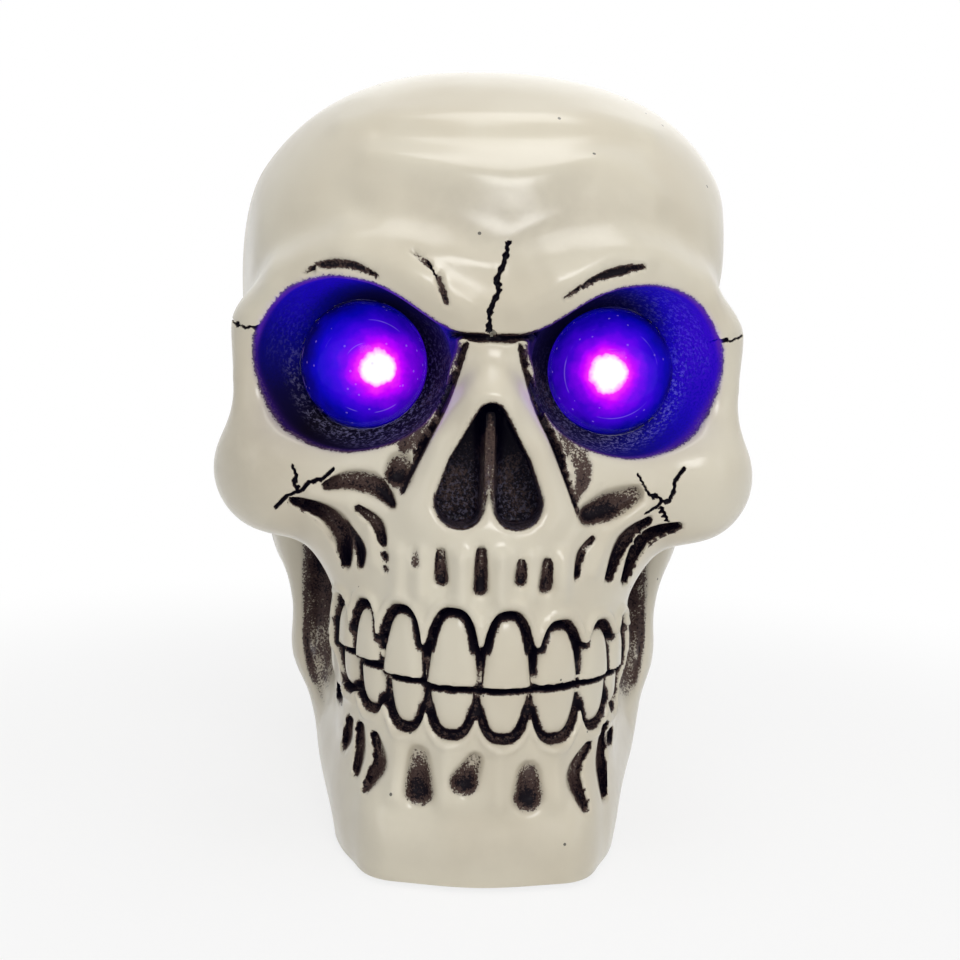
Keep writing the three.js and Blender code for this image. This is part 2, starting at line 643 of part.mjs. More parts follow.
// Places that pieces share
const eye = { x: SOCKET.at[0] - EYE_INWARD, y: SOCKET.at[1] + EYE_INSET, z: SOCKET.at[2] - EYE_DROP };
const flangeFront = eye.y + DOME_SKIRT;
const flangeBack = flangeFront + DOME_FLANGE_THICK;
const flangeRadius = DOME_RADIUS + DOME_FLANGE;
const holderFront = flangeBack + FIT;
const holderBack = holderFront + HOLDER_THICK;
const seatRadius = flangeRadius + FIT + SEAT_WALL;
const floorTop = STAND + FLOOR_THICK;
const plateTop = STAND + PLATE_THICK;
const doorLow = STAND + DOOR_GAP;
const doorHigh = doorLow + DOOR_THICK;
const rebateTop = doorHigh + DOOR_GAP;
const cellZ = doorHigh + FIT + CELL_RADIUS;
const trayHalf = (CELL_COUNT - 1) * CELL_PITCH / 2 + CELL_RADIUS + FIT;
const trayBack = TRAY_FRONT + CELL_LENGTH + SPRING_LENGTH + CONTACT_THICK + 4 * FIT;
const trayTop = cellZ + CELL_RADIUS + FIT;
const doorFront = TRAY_FRONT - DOOR_LAP;
const doorBack = trayBack + DOOR_TONGUE;
const doorHalf = trayHalf + DOOR_LAP;
const doorScrewHead = 2 * DOOR_SCREW_RADIUS;
const doorScrewY = doorBack - doorScrewHead - DOOR_LAP / 2;
const switchLow = plateTop + FIT;
const boardLow = switchLow + SWITCH_BODY[2] + FIT;
const boardTop = boardLow + BOARD[2];
const boardY = doorBack + BOARD_SETBACK;
const knobTop = switchLow + KNOB_ROOT;
const openHalf = trayHalf + TRAY_WALL + OPENING_ROOM;
const openFront = doorFront - TAB_LENGTH - OPENING_ROOM;
const openBack = boardY + PILLAR_RADIUS + OPENING_ROOM / 2;
const plateHalf = openHalf + LEDGE;
const plateFront = openFront - LEDGE;
const plateBack = openBack + LEDGE;
const screwPlaces = fourPlaces(plateHalf - LEDGE / 2, SCREW_INSET);
const footPlaces = fourPlaces(plateHalf - FOOT_INSET, FOOT_INSET);

function fourPlaces(x, inset) {
  return [plateFront + inset, plateBack - inset].flatMap((y) => [[-x, y], [x, y]]);
}

// Ends of the form, with room for the grid
const reachX = Math.max(CRANIUM.radii[0], CHEEK.at[0] + CHEEK.radii[0]) + GRID_MARGIN;
const reachFront = UPPER_JAW.at[1] - UPPER_JAW.radii[1] - GRID_MARGIN;
const reachBack = CRANIUM.at[1] + CRANIUM.radii[1] + GRID_MARGIN;
const reachTop = CRANIUM.at[2] + CRANIUM.radii[2] + GRID_MARGIN;

// Both shells are cut from the same form, around one hollow
function halfSkin(front, facets) {
  const overlap = GRID_MARGIN / 2;
  const past = front ? SEAM_Y + overlap : SEAM_Y - overlap;
  const form = (x, y, z) => {
    const beyond = front ? y - past : past - y;
    return Math.max(skullForm(x, y, z), beyond, STAND - overlap - z);
  };
  const [first, last] = front ? [reachFront, past + GRID_MARGIN] : [past - GRID_MARGIN, reachBack];
  const grid = [
    mirroredLines(reachX, facets.x),
    lines(first, last, facets.y),
    lines(-GRID_MARGIN, reachTop, facets.z),
  ];
  const near = front ? 2 * reachFront : SEAM_Y + SEAM_GAP / 2;
  const far = front ? SEAM_Y - SEAM_GAP / 2 : 2 * reachBack;
  const room = block([-2 * reachX, near, STAND], [2 * reachX, far, 2 * reachTop]);
  return solid(meshOf(form, grid)).intersect(room);
}

// The hollow: the large forms without their walls, kept clear of what is carved into them
function hollowForm(side, y, z) {
  const x = Math.abs(side);
  const jawWall = SHELL_WALL + TOOTH_BAND.depth;
  const inner = (form, wall) => ({ ...form, radii: form.radii.map((r) => r - wall) });
  const [cranium, neck] = [inner(CRANIUM, SHELL_WALL), inner(NECK, SHELL_WALL)];
  const upperJaw = { ...inner(UPPER_JAW, jawWall), half: UPPER_JAW.half - SHELL_WALL };
  let d = squareEllipsoid(x, y, z, cranium.at, cranium.radii, cranium.power);
  d = join(d, squareEllipsoid(x, y, z, neck.at, neck.radii, neck.power), NECK.blend);
  d = join(d, drum(x, y, z, upperJaw), UPPER_JAW.blend);
  d = join(d, drum(x, y, z, inner(LOWER_JAW, jawWall)), LOWER_JAW.blend);
  [TEMPLE_HOLLOW, JAW_HOLLOW, ARCH_HOLLOW, SOCKET].forEach((form) => {
    d = carve(d, ellipsoid(x, y, z, form.at, form.radii) - SHELL_WALL, SHELL_WALL);
  });
  const nose = Math.max(ridge(x, 0, z, NOSE_OPENING.path), y - NOSE_OPENING.back) - SHELL_WALL;
  return carve(d, nose, SHELL_WALL);
}

function hollow() {
  const under = STAND - GRID_MARGIN;
  const form = (x, y, z) => Math.max(hollowForm(x, y, z), under - z);
  const grid = [
    mirroredLines(reachX, HOLLOW_FACETS.x),
    lines(reachFront, reachBack, HOLLOW_FACETS.y),
    lines(under - GRID_MARGIN, reachTop, HOLLOW_FACETS.z),
  ];
  const room = block([-2 * reachX, 2 * reachFront, floorTop], [2 * reachX, 2 * reachBack, 2 * reachTop]);
  return solid(meshOf(form, grid)).intersect(room);
}

// Scraps that the cuts leave loose are dropped
function largest(manifold) {
  return manifold.decompose().reduce((big, next) => (next.volume() > big.volume() ? next : big));
}

// What the floor of both shells has: a rebate for the plate, an opening, screw posts and their bores
function floorCuts() {
  const corner = PLATE_CORNER + FIT;
  return [
    roundPlate(plateHalf + FIT, plateFront - FIT, plateBack + FIT, corner, STAND - PAST, plateTop + FIT),
    roundPlate(openHalf, openFront, openBack, corner - LEDGE, STAND, floorTop + PAST),
    ...screwPlaces.map(([x, y]) => column(x, y, STAND, STAND + SCREW_LENGTH + FIT, SCREW_RADIUS + FIT)),
  ];
}

function screwPosts() {
  const radius = SCREW_RADIUS + FIT + POST_WALL;
  return screwPlaces.map(([x, y]) => column(x, y, floorTop - PAST, floorTop + POST_HEIGHT, radius));
}

function faceShell(space) {
  const skin = cutAll(halfSkin(true, FACE_FACETS), socketTools());
  const seatFront = eye.y - SHELL_WALL / 4;
  const socketFront = seatFront - SOCKET.radii[1];
  const bothEyes = (...size) => [-1, 1].map((s) => tunnel(s * eye.x, eye.z, ...size));
  const seats = bothEyes(seatFront, holderBack + FIT, seatRadius);
  const bores = bothEyes(socketFront, holderBack, DOME_RADIUS + FIT);
  const pockets = bothEyes(flangeFront - FIT, holderBack + 2 * PAST, flangeRadius + FIT);
  const [top, , lobe] = NOSE_OPENING.path;
  const septum = block(
    [-SEPTUM.thick / 2, SEPTUM.front, lobe[2] - lobe[3] - PAST],
    [SEPTUM.thick / 2, NOSE_OPENING.back + SHELL_WALL / 2, top[2] + top[3]],
  );
  const inside = [...seats, ...screwPosts()].map((extra) => extra.intersect(skin));
  const open = cutAll(skin.subtract(space), [noseOpening(), ...pitTools()]);
  const whole = joinAll(open, [...inside, ...teeth(), septum]);
  return largest(cutAll(whole, [...bores, ...pockets, ...floorCuts()]));
}

function craniumShell(space) {
  const skin = halfSkin(false, REAR_FACETS);
  const inside = screwPosts().map((extra) => extra.intersect(skin));
  return largest(cutAll(joinAll(skin.subtract(space), inside), floorCuts()));
}

// Eyes: a half-ball with a flange, held from behind by a disc that carries the lamp
function eyeDome() {
  const inner = DOME_RADIUS - DOME_WALL;
  const back = -DOME_SKIRT - DOME_FLANGE_THICK;
  const profile = [
    ...arc(inner, 0, Math.PI / 2, 4),
    [inner, back], [flangeRadius, back], [flangeRadius, -DOME_SKIRT], [DOME_RADIUS, -DOME_SKIRT],
    ...arc(DOME_RADIUS, Math.PI / 2, 0, 6),
  ];
  return turned(profile, 20).rotateZ(Math.PI);
}

function ledHolder() {
  const hole = LED_RADIUS + FIT;
  const wide = LED_RADIUS + LED_RIM + FIT;
  const step = HOLDER_THICK - LED_RIM_THICK - FIT;
  const profile = [
    [hole, 0], [flangeRadius, 0], [flangeRadius, HOLDER_THICK],
    [wide, HOLDER_THICK], [wide, step], [hole, step], [hole, 0],
  ];
  return turned(profile, 18);
}

function led() {
  const rim = LED_RADIUS + LED_RIM;
  const profile = [
    [0, 0], [rim, 0], [rim, LED_RIM_THICK], [LED_RADIUS, LED_RIM_THICK],
    ...arc(LED_RADIUS, Math.PI / 2, 0, 3, LED_LENGTH - LED_RADIUS),
  ];
  const bulb = solid(turned(profile, 14).rotateZ(Math.PI));
  const legs = [-1, 1].map((s) => block(
    [s * LEG_PITCH / 2 - LEG_SIZE / 2, -LED_RIM_THICK / 2, -LEG_SIZE / 2],
    [s * LEG_PITCH / 2 + LEG_SIZE / 2, LEG_LENGTH, LEG_SIZE / 2],
  ));
  return geometryOf(joinAll(bulb, legs));
}

function flatCable(points, steps) {
  const section = new THREE.Shape();
  section.absellipse(0, 0, CABLE[1] / 2, CABLE[0] / 2, 0, 2 * Math.PI);
  const extrudePath = new THREE.CatmullRomCurve3(points.map((p) => new THREE.Vector3(...p)));
  const options = { steps, extrudePath, curveSegments: 4, bevelEnabled: false };
  return new THREE.ExtrudeGeometry(section, options);
}

// Base plate with the battery opening, the door's rebate and slots, pillars and holes
function basePlate() {
  const below = STAND - PAST;
  const above = plateTop + PAST;
  const tabHalf = TAB_WIDTH / 2 + FIT;
  const slotFront = doorFront - TAB_LENGTH - FIT;
  const bossRadius = DOOR_SCREW_RADIUS + DOOR_SCREW_PLAY + BOSS_WALL;
  const bossTop = doorLow + DOOR_SCREW_LENGTH + 2 * FIT;
  const knobReach = KNOB[0] / 2 + FIT;
  const pillars = [-1, 1].map((s) => {
    const x = s * PILLAR_SPREAD / 2;
    return column(x, boardY, plateTop - PAST, boardLow - FIT, PILLAR_RADIUS);
  });
  const plate = roundPlate(plateHalf, plateFront, plateBack, PLATE_CORNER, STAND, plateTop);
  const boss = column(0, doorScrewY, rebateTop, bossTop, bossRadius);
  const rebateHalf = doorHalf + DOOR_GAP;
  const cuts = [
    block([-rebateHalf, doorFront, below], [rebateHalf, doorBack + DOOR_GAP, rebateTop]),
    block([-trayHalf, TRAY_FRONT, below], [trayHalf, trayBack, above]),
    column(0, doorScrewY, below, bossTop + PAST, DOOR_SCREW_RADIUS + DOOR_SCREW_PLAY),
    ...[-1, 1].map((s) => {
      const x = s * TAB_SPREAD / 2;
      const low = doorHigh - TAB_THICK - DOOR_GAP;
      return block([x - tabHalf, slotFront, low], [x + tabHalf, TRAY_FRONT, above]);
    }),
    ...footPlaces.map(([x, y]) => column(x, y, below, FOOT_THICK + FIT, FOOT_RADIUS + FIT)),
    ...screwPlaces.map(([x, y]) => solid(
      screw(SCREW_RADIUS, SCREW_HEAD, SCREW_LENGTH, FIT).translate(x, y, STAND + FIT),
    )),
    ...[-1, 1].map((s) => {
      const x = s * PILLAR_SPREAD / 2;
      return column(x, boardY, boardTop - BOARD_SCREW_LENGTH - FIT, boardTop, BOARD_SCREW_RADIUS + FIT);
    }),
    block(
      [-knobReach - SWITCH_TRAVEL, boardY - KNOB[1] / 2 - FIT, below],
      [knobReach, boardY + KNOB[1] / 2 + FIT, above],
    ),
  ];
  return geometryOf(cutAll(joinAll(plate, [boss, ...pillars]), cuts));
}

function batteryTray() {
  const low = plateTop + FIT / 2;
  const outer = block(
    [-trayHalf - TRAY_WALL, TRAY_FRONT - TRAY_WALL, low],
    [trayHalf + TRAY_WALL, trayBack + TRAY_WALL, trayTop + TRAY_WALL],
  );
  const inner = block([-trayHalf, TRAY_FRONT, low - PAST], [trayHalf, trayBack, trayTop]);
  return geometryOf(outer.subtract(inner));
}

function batteryDoor() {
  const panel = block([-doorHalf, doorFront + DOOR_GAP, doorLow], [doorHalf, doorBack, doorHigh]);
  const tabs = [-1, 1].map((s) => block(
    [s * TAB_SPREAD / 2 - TAB_WIDTH / 2, doorFront - TAB_LENGTH, doorHigh - TAB_THICK],
    [s * TAB_SPREAD / 2 + TAB_WIDTH / 2, doorFront + PAST, doorHigh],
  ));
  const hole = screw(DOOR_SCREW_RADIUS, doorScrewHead, DOOR_SCREW_LENGTH, FIT);
  hole.translate(0, doorScrewY, doorLow);
  return geometryOf(joinAll(panel, tabs).subtract(solid(hole)));
}

function cell() {
  const body = CELL_LENGTH - CELL_NUB;
  const flat = CELL_RADIUS - CELL_EDGE;
  const profile = [
    [0, 0], [flat, 0], [CELL_RADIUS, CELL_EDGE], [CELL_RADIUS, body - CELL_EDGE], [flat, body],
    [CELL_NUB_RADIUS, body], [CELL_NUB_RADIUS, CELL_LENGTH], [0, CELL_LENGTH],
  ];
  return turned(profile, 18);
}

// Contact spring: one unbroken wire of even curls along +Y
class Coil extends THREE.Curve {
  getPoint(t, target = new THREE.Vector3()) {
    const turn = 2 * Math.PI * SPRING_CURLS * t;
    const along = SPRING_WIRE / 2 + (SPRING_LENGTH - SPRING_WIRE) * t;
    return target.set(SPRING_RADIUS * Math.cos(turn), along, SPRING_RADIUS * Math.sin(turn));
  }
}

function contactSpring() {
  const section = new THREE.Shape();
  const corners = Array.from({ length: 5 }, (_, i) => 2 * Math.PI * i / 5);
  section.setFromPoints(corners.map((a) => {
    const radius = SPRING_WIRE / 2;
    return new THREE.Vector2(radius * Math.cos(a), radius * Math.sin(a));
  }));
  const options = { steps: 8 * SPRING_CURLS, extrudePath: new Coil(), bevelEnabled: false };
  return new THREE.ExtrudeGeometry(section, options);
}

function springGap() {
  const coil = new Coil();
  const perCurl = 24;
  const points = coil.getPoints(perCurl * SPRING_CURLS);
  let least = Infinity;
  points.forEach((p, i) => points.slice(i + perCurl / 2).forEach((q) => {
    least = Math.min(least, p.distanceTo(q) - SPRING_WIRE);
  }));
  return least;
}
console.log(`contact spring: least gap between curls ${springGap().toFixed(2)} mm`);

function controlBoard() {
  const board = block(
    [-BOARD[0] / 2, boardY - BOARD[1] / 2, boardLow],
    [BOARD[0] / 2, boardY + BOARD[1] / 2, boardTop],
  );
  const holes = [-1, 1].map((s) => {
    const x = s * PILLAR_SPREAD / 2;
    return column(x, boardY, boardLow - PAST, boardTop + PAST, BOARD_SCREW_RADIUS + FIT, 10);
  });
  return geometryOf(cutAll(board, holes));
}

function boardScrew() {
  const profile = [
    [0, -BOARD_SCREW_LENGTH], [BOARD_SCREW_RADIUS, -BOARD_SCREW_LENGTH], [BOARD_SCREW_RADIUS, FIT / 2],
    [BOARD_SCREW_HEAD, FIT / 2], [BOARD_SCREW_HEAD, BOARD_SCREW_HEAD_THICK], [0, BOARD_SCREW_HEAD_THICK],
  ];
  return turned(profile, 10).rotateX(Math.PI / 2);
}

function switchBody() {
  const [wide, deep, tall] = SWITCH_BODY;
  const body = block(
    [-wide / 2, boardY - deep / 2, switchLow],
    [wide / 2, boardY + deep / 2, switchLow + tall],
  );
  const track = block(
    [-KNOB[0] / 2 - FIT - SWITCH_TRAVEL, boardY - KNOB[1] / 2 - FIT, switchLow - PAST],
    [KNOB[0] / 2 + FIT, boardY + KNOB[1] / 2 + FIT, knobTop + FIT],
  );
  return geometryOf(body.subtract(track));
}

function footPad() {
  const flat = FOOT_RADIUS - FOOT_EDGE;
  const profile = [[0, 0], [flat, 0], [FOOT_RADIUS, FOOT_EDGE], [FOOT_RADIUS, FOOT_THICK], [0, FOOT_THICK]];
  return turned(profile, 12).rotateX(Math.PI / 2);
}

// Assembly
const skull = new THREE.Group();
const shells = new THREE.Group();
const lamps = new THREE.Group();
const base = new THREE.Group();
skull.add(shells, lamps, base);

function place(group, name, geometry, material, at = [0, 0, 0]) {
  const mesh = new THREE.Mesh(geometry, material);
  mesh.name = name;
  mesh.position.set(...at);
  group.add(mesh);
  return mesh;
}

const space = hollow();
place(shells, 'face_shell', geometryOf(faceShell(space)), IVORY);
place(shells, 'cranium_shell', geometryOf(craniumShell(space)), IVORY);

[['left', -1], ['right', 1]].forEach(([name, s]) => {
  const ledBack = holderBack - LED_RIM_THICK;
  place(lamps, `eye_dome_${name}`, eyeDome(), LENS, [s * eye.x, eye.y, eye.z]);
  place(lamps, `led_holder_${name}`, ledHolder(), BLACK, [s * eye.x, holderFront, eye.z]);
  place(lamps, `led_${name}`, led(), LAMP, [s * eye.x, ledBack + LED_RIM_THICK, eye.z]);
  const start = [eye.x, ledBack + LED_RIM_THICK + LEG_LENGTH + FIT, eye.z];
  const end = [LED_ROUTE[LED_ROUTE.length - 1][0], boardY + BOARD[1] / 4, boardTop + FIT];
  const route = [start, ...LED_ROUTE, end].map(([x, y, z]) => [s * x, y, z]);
  place(lamps, `led_cable_${name}`, flatCable(route, CABLE_STEPS), JACKET);
});

place(base, 'base_plate', basePlate(), BLACK);
screwPlaces.forEach(([x, y], i) => {
  const baseScrew = screw(SCREW_RADIUS, SCREW_HEAD, SCREW_LENGTH);
  place(base, `base_screw_${i + 1}`, baseScrew, STEEL, [x, y, STAND + FIT]);
});
footPlaces.forEach(([x, y], i) => {
  place(base, `foot_${i + 1}`, footPad(), RUBBER, [x, y, 0]);
});
place(base, 'battery_tray', batteryTray(), BLACK);
place(base, 'battery_door', batteryDoor(), BLACK);
const doorScrew = screw(DOOR_SCREW_RADIUS, doorScrewHead, DOOR_SCREW_LENGTH);
place(base, 'door_screw', doorScrew, STEEL, [0, doorScrewY, doorLow]);

for (let i = 0; i < CELL_COUNT; i += 1) {
  const x = (i - (CELL_COUNT - 1) / 2) * CELL_PITCH;
  const flip = i % 2 === 1;
  const springAt = flip ? trayBack - FIT - SPRING_LENGTH : TRAY_FRONT + FIT;
  const cellAt = flip ? springAt - FIT : springAt + SPRING_LENGTH + FIT;
  const contactAt = flip ? TRAY_FRONT + FIT : trayBack - FIT - CONTACT_THICK;
  const cellMesh = place(base, `cell_${i + 1}`, cell(), CELL_WRAP, [x, cellAt, cellZ]);
  cellMesh.rotation.z = flip ? Math.PI : 0;
  place(base, `contact_spring_${i + 1}`, contactSpring(), STEEL, [x, springAt, cellZ]);
  const contact = new THREE.BoxGeometry(CONTACT_SIZE, CONTACT_THICK, CONTACT_SIZE);
  place(base, `contact_plate_${i + 1}`, contact, STEEL, [x, contactAt + CONTACT_THICK / 2, cellZ]);
}

place(base, 'control_board', controlBoard(), BOARD_GREEN);
[-1, 1].forEach((s, i) => {
  place(base, `board_screw_${i + 1}`, boardScrew(), STEEL, [s * PILLAR_SPREAD / 2, boardY, boardTop]);
});
const chipAt = [CHIP_AT[0], boardY + CHIP_AT[1], boardTop + FIT / 2 + CHIP[2] / 2];
place(base, 'driver_chip', new THREE.BoxGeometry(...CHIP), BLACK, chipAt);
[['left', -1], ['right', 1]].forEach(([name, s]) => {
  const at = [s * RESISTOR_AT[0], boardY - RESISTOR_AT[1], boardTop + FIT / 2 + RESISTOR[2] / 2];
  place(base, `resistor_${name}`, new THREE.BoxGeometry(...RESISTOR), BLACK, at);
});
place(base, 'switch_body', switchBody(), BLACK);
const knobTall = knobTop - KNOB_TIP;
const knob = new THREE.BoxGeometry(...KNOB, knobTall);
place(base, 'switch_slider', knob, BLACK, [0, boardY, KNOB_TIP + knobTall / 2]);

const leadLow = trayBack + TRAY_WALL + FIT;
const boardFront = boardY - BOARD[1] / 2;
const leadX = trayHalf - LEAD_INSET;
const leadEnd = [leadX - CABLE[1], boardFront + CABLE[0]];
const leadRoute = [
  [leadX, leadLow, cellZ],
  [leadX, leadLow + CABLE[0], cellZ],
  [leadX, boardFront, boardTop + 1.5 * LEAD_RISE],
  [...leadEnd, boardTop + LEAD_RISE],
  [...leadEnd, boardTop + FIT],
];
place(base, 'battery_lead', flatCable(leadRoute, 10), JACKET);

export default skull;
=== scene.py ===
import math
from concurrent.futures import ThreadPoolExecutor

import bmesh
import bpy
import numpy as np
from mathutils import Matrix, Vector


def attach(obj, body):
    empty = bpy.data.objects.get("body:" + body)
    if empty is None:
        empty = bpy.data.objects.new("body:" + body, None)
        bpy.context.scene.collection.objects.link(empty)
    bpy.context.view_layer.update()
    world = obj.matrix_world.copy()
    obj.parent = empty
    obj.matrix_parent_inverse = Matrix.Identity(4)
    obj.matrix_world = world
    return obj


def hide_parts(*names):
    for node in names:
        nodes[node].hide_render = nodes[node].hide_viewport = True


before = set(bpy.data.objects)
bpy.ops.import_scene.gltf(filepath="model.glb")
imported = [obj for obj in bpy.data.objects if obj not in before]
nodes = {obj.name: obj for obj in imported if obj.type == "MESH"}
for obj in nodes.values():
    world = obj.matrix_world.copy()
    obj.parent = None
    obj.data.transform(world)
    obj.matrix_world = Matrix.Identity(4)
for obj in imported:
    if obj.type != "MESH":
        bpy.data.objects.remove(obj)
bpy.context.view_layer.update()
mm = 0.001
print("frame loaded, nodes:", len(nodes))

# The skull's form in millimetres, as the solids have it apart from fine detail.
# The right half is given and the left mirrors it. A path is a row of x, y, z, radius.
skullForm = {
    "cranium": {"at": (0, 4, 109), "radii": (56, 62, 55), "power": 2.5},
    "forehead": {"at": (0, -22, 121), "radii": (46, 37, 33), "blend": 12},
    "brow": {"path": ((0, -57, 111, 4), (12, -56.5, 115, 6), (25, -54, 117, 6), (38, -47, 114, 5.5),
                      (45.2, -41, 106, 4.5)), "blend": 9},
    "templeHollow": {"at": (64, -20, 114), "radii": (13, 27, 25), "blend": 11},
    "orbitSide": {"path": ((45.2, -41, 106, 4.5), (46.6, -41, 96, 4.4), (45, -41, 84, 6)), "blend": 6},
    "cheek": {"at": (42.3, -39, 77), "radii": (10.6, 13, 12), "blend": 8},
    "orbitFloor": {"path": ((42, -45, 81, 4.5), (29, -49, 78, 4.5), (17, -51.5, 82, 4.5), (8.5, -53, 94, 4),
                            (7, -54, 104, 4)), "blend": 7},
    "cheekArch": {"path": ((47, -36, 77, 6), (51, -8, 78, 4.5), (50, 16, 80, 6)), "blend": 9},
    "midFace": {"at": (18, -38, 72), "radii": (19, 18, 20), "blend": 10},
    "upperJaw": {"at": (0, -33, 58), "radii": (30.6, 32.6), "half": 24, "round": 14, "blend": 6},
    "noseBridge": {"path": ((0, -54, 108, 3.5), (0, -58.5, 99, 4.5), (0, -61, 93, 5.5)), "blend": 4},
    "noseRim": {"path": ((0, -60.5, 93, 5), (7.5, -59.5, 85, 4.2), (11.5, -58, 73, 4.5), (7, -59, 68, 4.5),
                         (0, -60, 67, 4.5)), "blend": 4},
    "lowerJaw": {"at": (0, -33, 20), "radii": (29.4, 30.8), "half": 32, "round": 8, "blend": 6},
    "chin": {"at": (0, -48, 8), "half": (23.6, 14, 12), "round": 8, "blend": 5},
    "jawEdge": {"path": ((18, -44, 8, 7.5), (27, -10, 15, 8.5), (34, 4, 32, 8)), "blend": 8},
    "jawBranch": {"path": ((34, 4, 32, 8), (41.5, 6, 62, 5)), "blend": 6},
    "neck": {"at": (0, 12, 30), "radii": (33, 44, 56), "power": 3.2, "blend": 14},
    "mastoid": {"at": (43, 18, 63), "radii": (8, 11, 15), "blend": 11},
    "jawHollow": {"at": (36.5, -15, 50), "radii": (5.5, 15, 25), "blend": 4},
    "archHollow": {"at": (47, -12, 88), "radii": (6, 13, 11), "blend": 6},
    "socket": {"at": (27, -52, 100), "radii": (19.6, 21, 16.6), "blend": 4, "rim": 1.7},
    "socketCorner": {"path": ((20, -60, 101.5, 9), (9.5, -60, 104.5, 2.5))},
    "nose": {"path": ((0, 0, 90.8, 2.6), (3.6, 0, 81, 4.2), (5.4, 0, 74.6, 4.6)), "back": -53, "blend": 1.5},
    "septum": {"half": 0.9, "front": -61, "flare": 0.12, "middle": 80, "tall": 12, "behind": 1, "blend": 1.5},
}
# Teeth: where each starts and ends along its arch in degrees, and the heights of its gum and tip
teethForm = {
    "upper": {"radii": (30, 32), "edges": (-75, -58, -41.5, -22, -1.5, 18.3, 38.6, 58.5, 75),
              "gums": (53, 53.8, 54.2, 54.6, 54.2, 52, 50.8, 50),
              "tips": (43.4, 42.6, 41, 40.2, 40, 40.2, 40, 40)},
    "lower": {"radii": (29, 30.5), "edges": (-73, -56, -39, -21.5, -2.5, 18, 40.5, 60, 74),
              "gums": (34.5, 32.5, 30.5, 30, 29.4, 28.6, 29.6, 31),
              "tips": (42.2, 41.2, 39.9, 39, 38.8, 38.8, 38.8, 38.8)},
    "archY": -33, "gap": -0.12, "deep": 4.6, "proud": 0.7, "power": 3, "bulge": 0.74, "narrow": 0.4,
    "blend": 0.4, "gumNarrow": 0.3, "gumEdge": {"height": 0.8, "out": 1.3, "reach": 0.9},
    "pocket": 0.46, "pocketDepth": 2.8, "pocketReach": 60, "pocketBlend": 1,
    "coreHalf": 300, "coreRound": 1, "bandLow": 34.8, "bandHigh": 47.6, "bandBack": -41,
}


tiny = 1e-9  # this and the next keep a division from failing
small = 1e-6


# Each shape takes the x, y, z of many points and gives how far each is from its surface, below 0 inside
def ellipsoid(p, at, radii):
    q = [(p[a] - at[a]) / radii[a] for a in range(3)]
    near = np.sqrt(q[0] ** 2 + q[1] ** 2 + q[2] ** 2) + tiny
    slope = np.sqrt((q[0] / radii[0]) ** 2 + (q[1] / radii[1]) ** 2 + (q[2] / radii[2]) ** 2) + tiny
    return near * (near - 1) / slope


def squareEllipsoid(p, at, radii, power):
    q = [np.abs(p[a] - at[a]) / radii[a] + small for a in range(3)]
    lessened = [v ** (power - 1) for v in q]
    total = sum(v * w for v, w in zip(q, lessened))
    size = total ** (1 / power)
    steep = np.sqrt(sum((w / r) ** 2 for w, r in zip(lessened, radii))) * size / total
    return (size - 1) / steep


def ridge(p, path):
    least = None
    for a, b in zip(path, path[1:]):
        d = [b[i] - a[i] for i in range(3)]
        along = sum((p[i] - a[i]) * d[i] for i in range(3)) / sum(v * v for v in d)
        t = np.clip(along, 0, 1)
        gap = np.sqrt(sum((p[i] - a[i] - t * d[i]) ** 2 for i in range(3))) - a[3] - (b[3] - a[3]) * t
        least = gap if least is None else np.minimum(least, gap)
    return least


def drum(p, at, radii, half, rounding):
    q = [(p[a] - at[a]) / radii[a] for a in range(2)]
    near = np.sqrt(q[0] ** 2 + q[1] ** 2) + tiny
    slope = np.sqrt((q[0] / radii[0]) ** 2 + (q[1] / radii[1]) ** 2) + tiny
    side = near * (near - 1) / slope + rounding
    end = np.abs(p[2] - at[2]) - half + rounding
    outside = np.sqrt(np.maximum(side, 0) ** 2 + np.maximum(end, 0) ** 2)
    return outside + np.minimum(np.maximum(side, end), 0) - rounding


def roundBox(p, form):
    q = [np.abs(p[a] - form["at"][a]) - form["half"][a] + form["round"] for a in range(3)]
    outside = np.sqrt(sum(np.maximum(v, 0) ** 2 for v in q))
    return outside + np.minimum(np.maximum(np.maximum(q[0], q[1]), q[2]), 0) - form["round"]


def join(a, b, blend):
    h = np.maximum(blend - np.abs(a - b), 0) / blend
    return np.minimum(a, b) - h * h * blend / 4


def carve(a, b, blend):
    return -join(-a, b, blend)


def smooth(low, high, value):
    t = np.clip((value - low) / (high - low), 0, 1)
    return t * t * (3 - 2 * t)


def fade(shares, edges, value):  # from one share to the other between two edges
    return shares[0] + (shares[1] - shares[0]) * smooth(*edges, value)


def wholeSkull(p):  # both sides alike, without eye sockets, teeth or carving
    form = skullForm
    p = (np.abs(p[0]), p[1], p[2])
    d = squareEllipsoid(p, **form["cranium"])

    def add(name):
        f = form[name]
        if "path" in f:
            shape = ridge(p, f["path"])
        elif "power" in f:
            shape = squareEllipsoid(p, f["at"], f["radii"], f["power"])
        elif len(f.get("radii", ())) == 2:
            shape = drum(p, f["at"], f["radii"], f["half"], f["round"])
        elif "half" in f:
            shape = roundBox(p, f)
        else:
            shape = ellipsoid(p, f["at"], f["radii"])
        return join(d, shape, f["blend"])

    for name in ("forehead", "brow"):
        d = add(name)
    f = form["templeHollow"]
    d = carve(d, ellipsoid(p, f["at"], f["radii"]), f["blend"])
    for name in ("orbitSide", "cheek", "orbitFloor", "cheekArch", "midFace", "upperJaw", "noseBridge",
                 "noseRim", "lowerJaw", "chin", "jawEdge", "jawBranch", "neck", "mastoid"):
        d = add(name)
    for name in ("jawHollow", "archHollow"):
        d = carve(d, ellipsoid(p, form[name]["at"], form[name]["radii"]), form[name]["blend"])
    return d


def bareSkull(p):
    return carve(wholeSkull(p), socketHole(p), skullForm["socket"]["rim"])


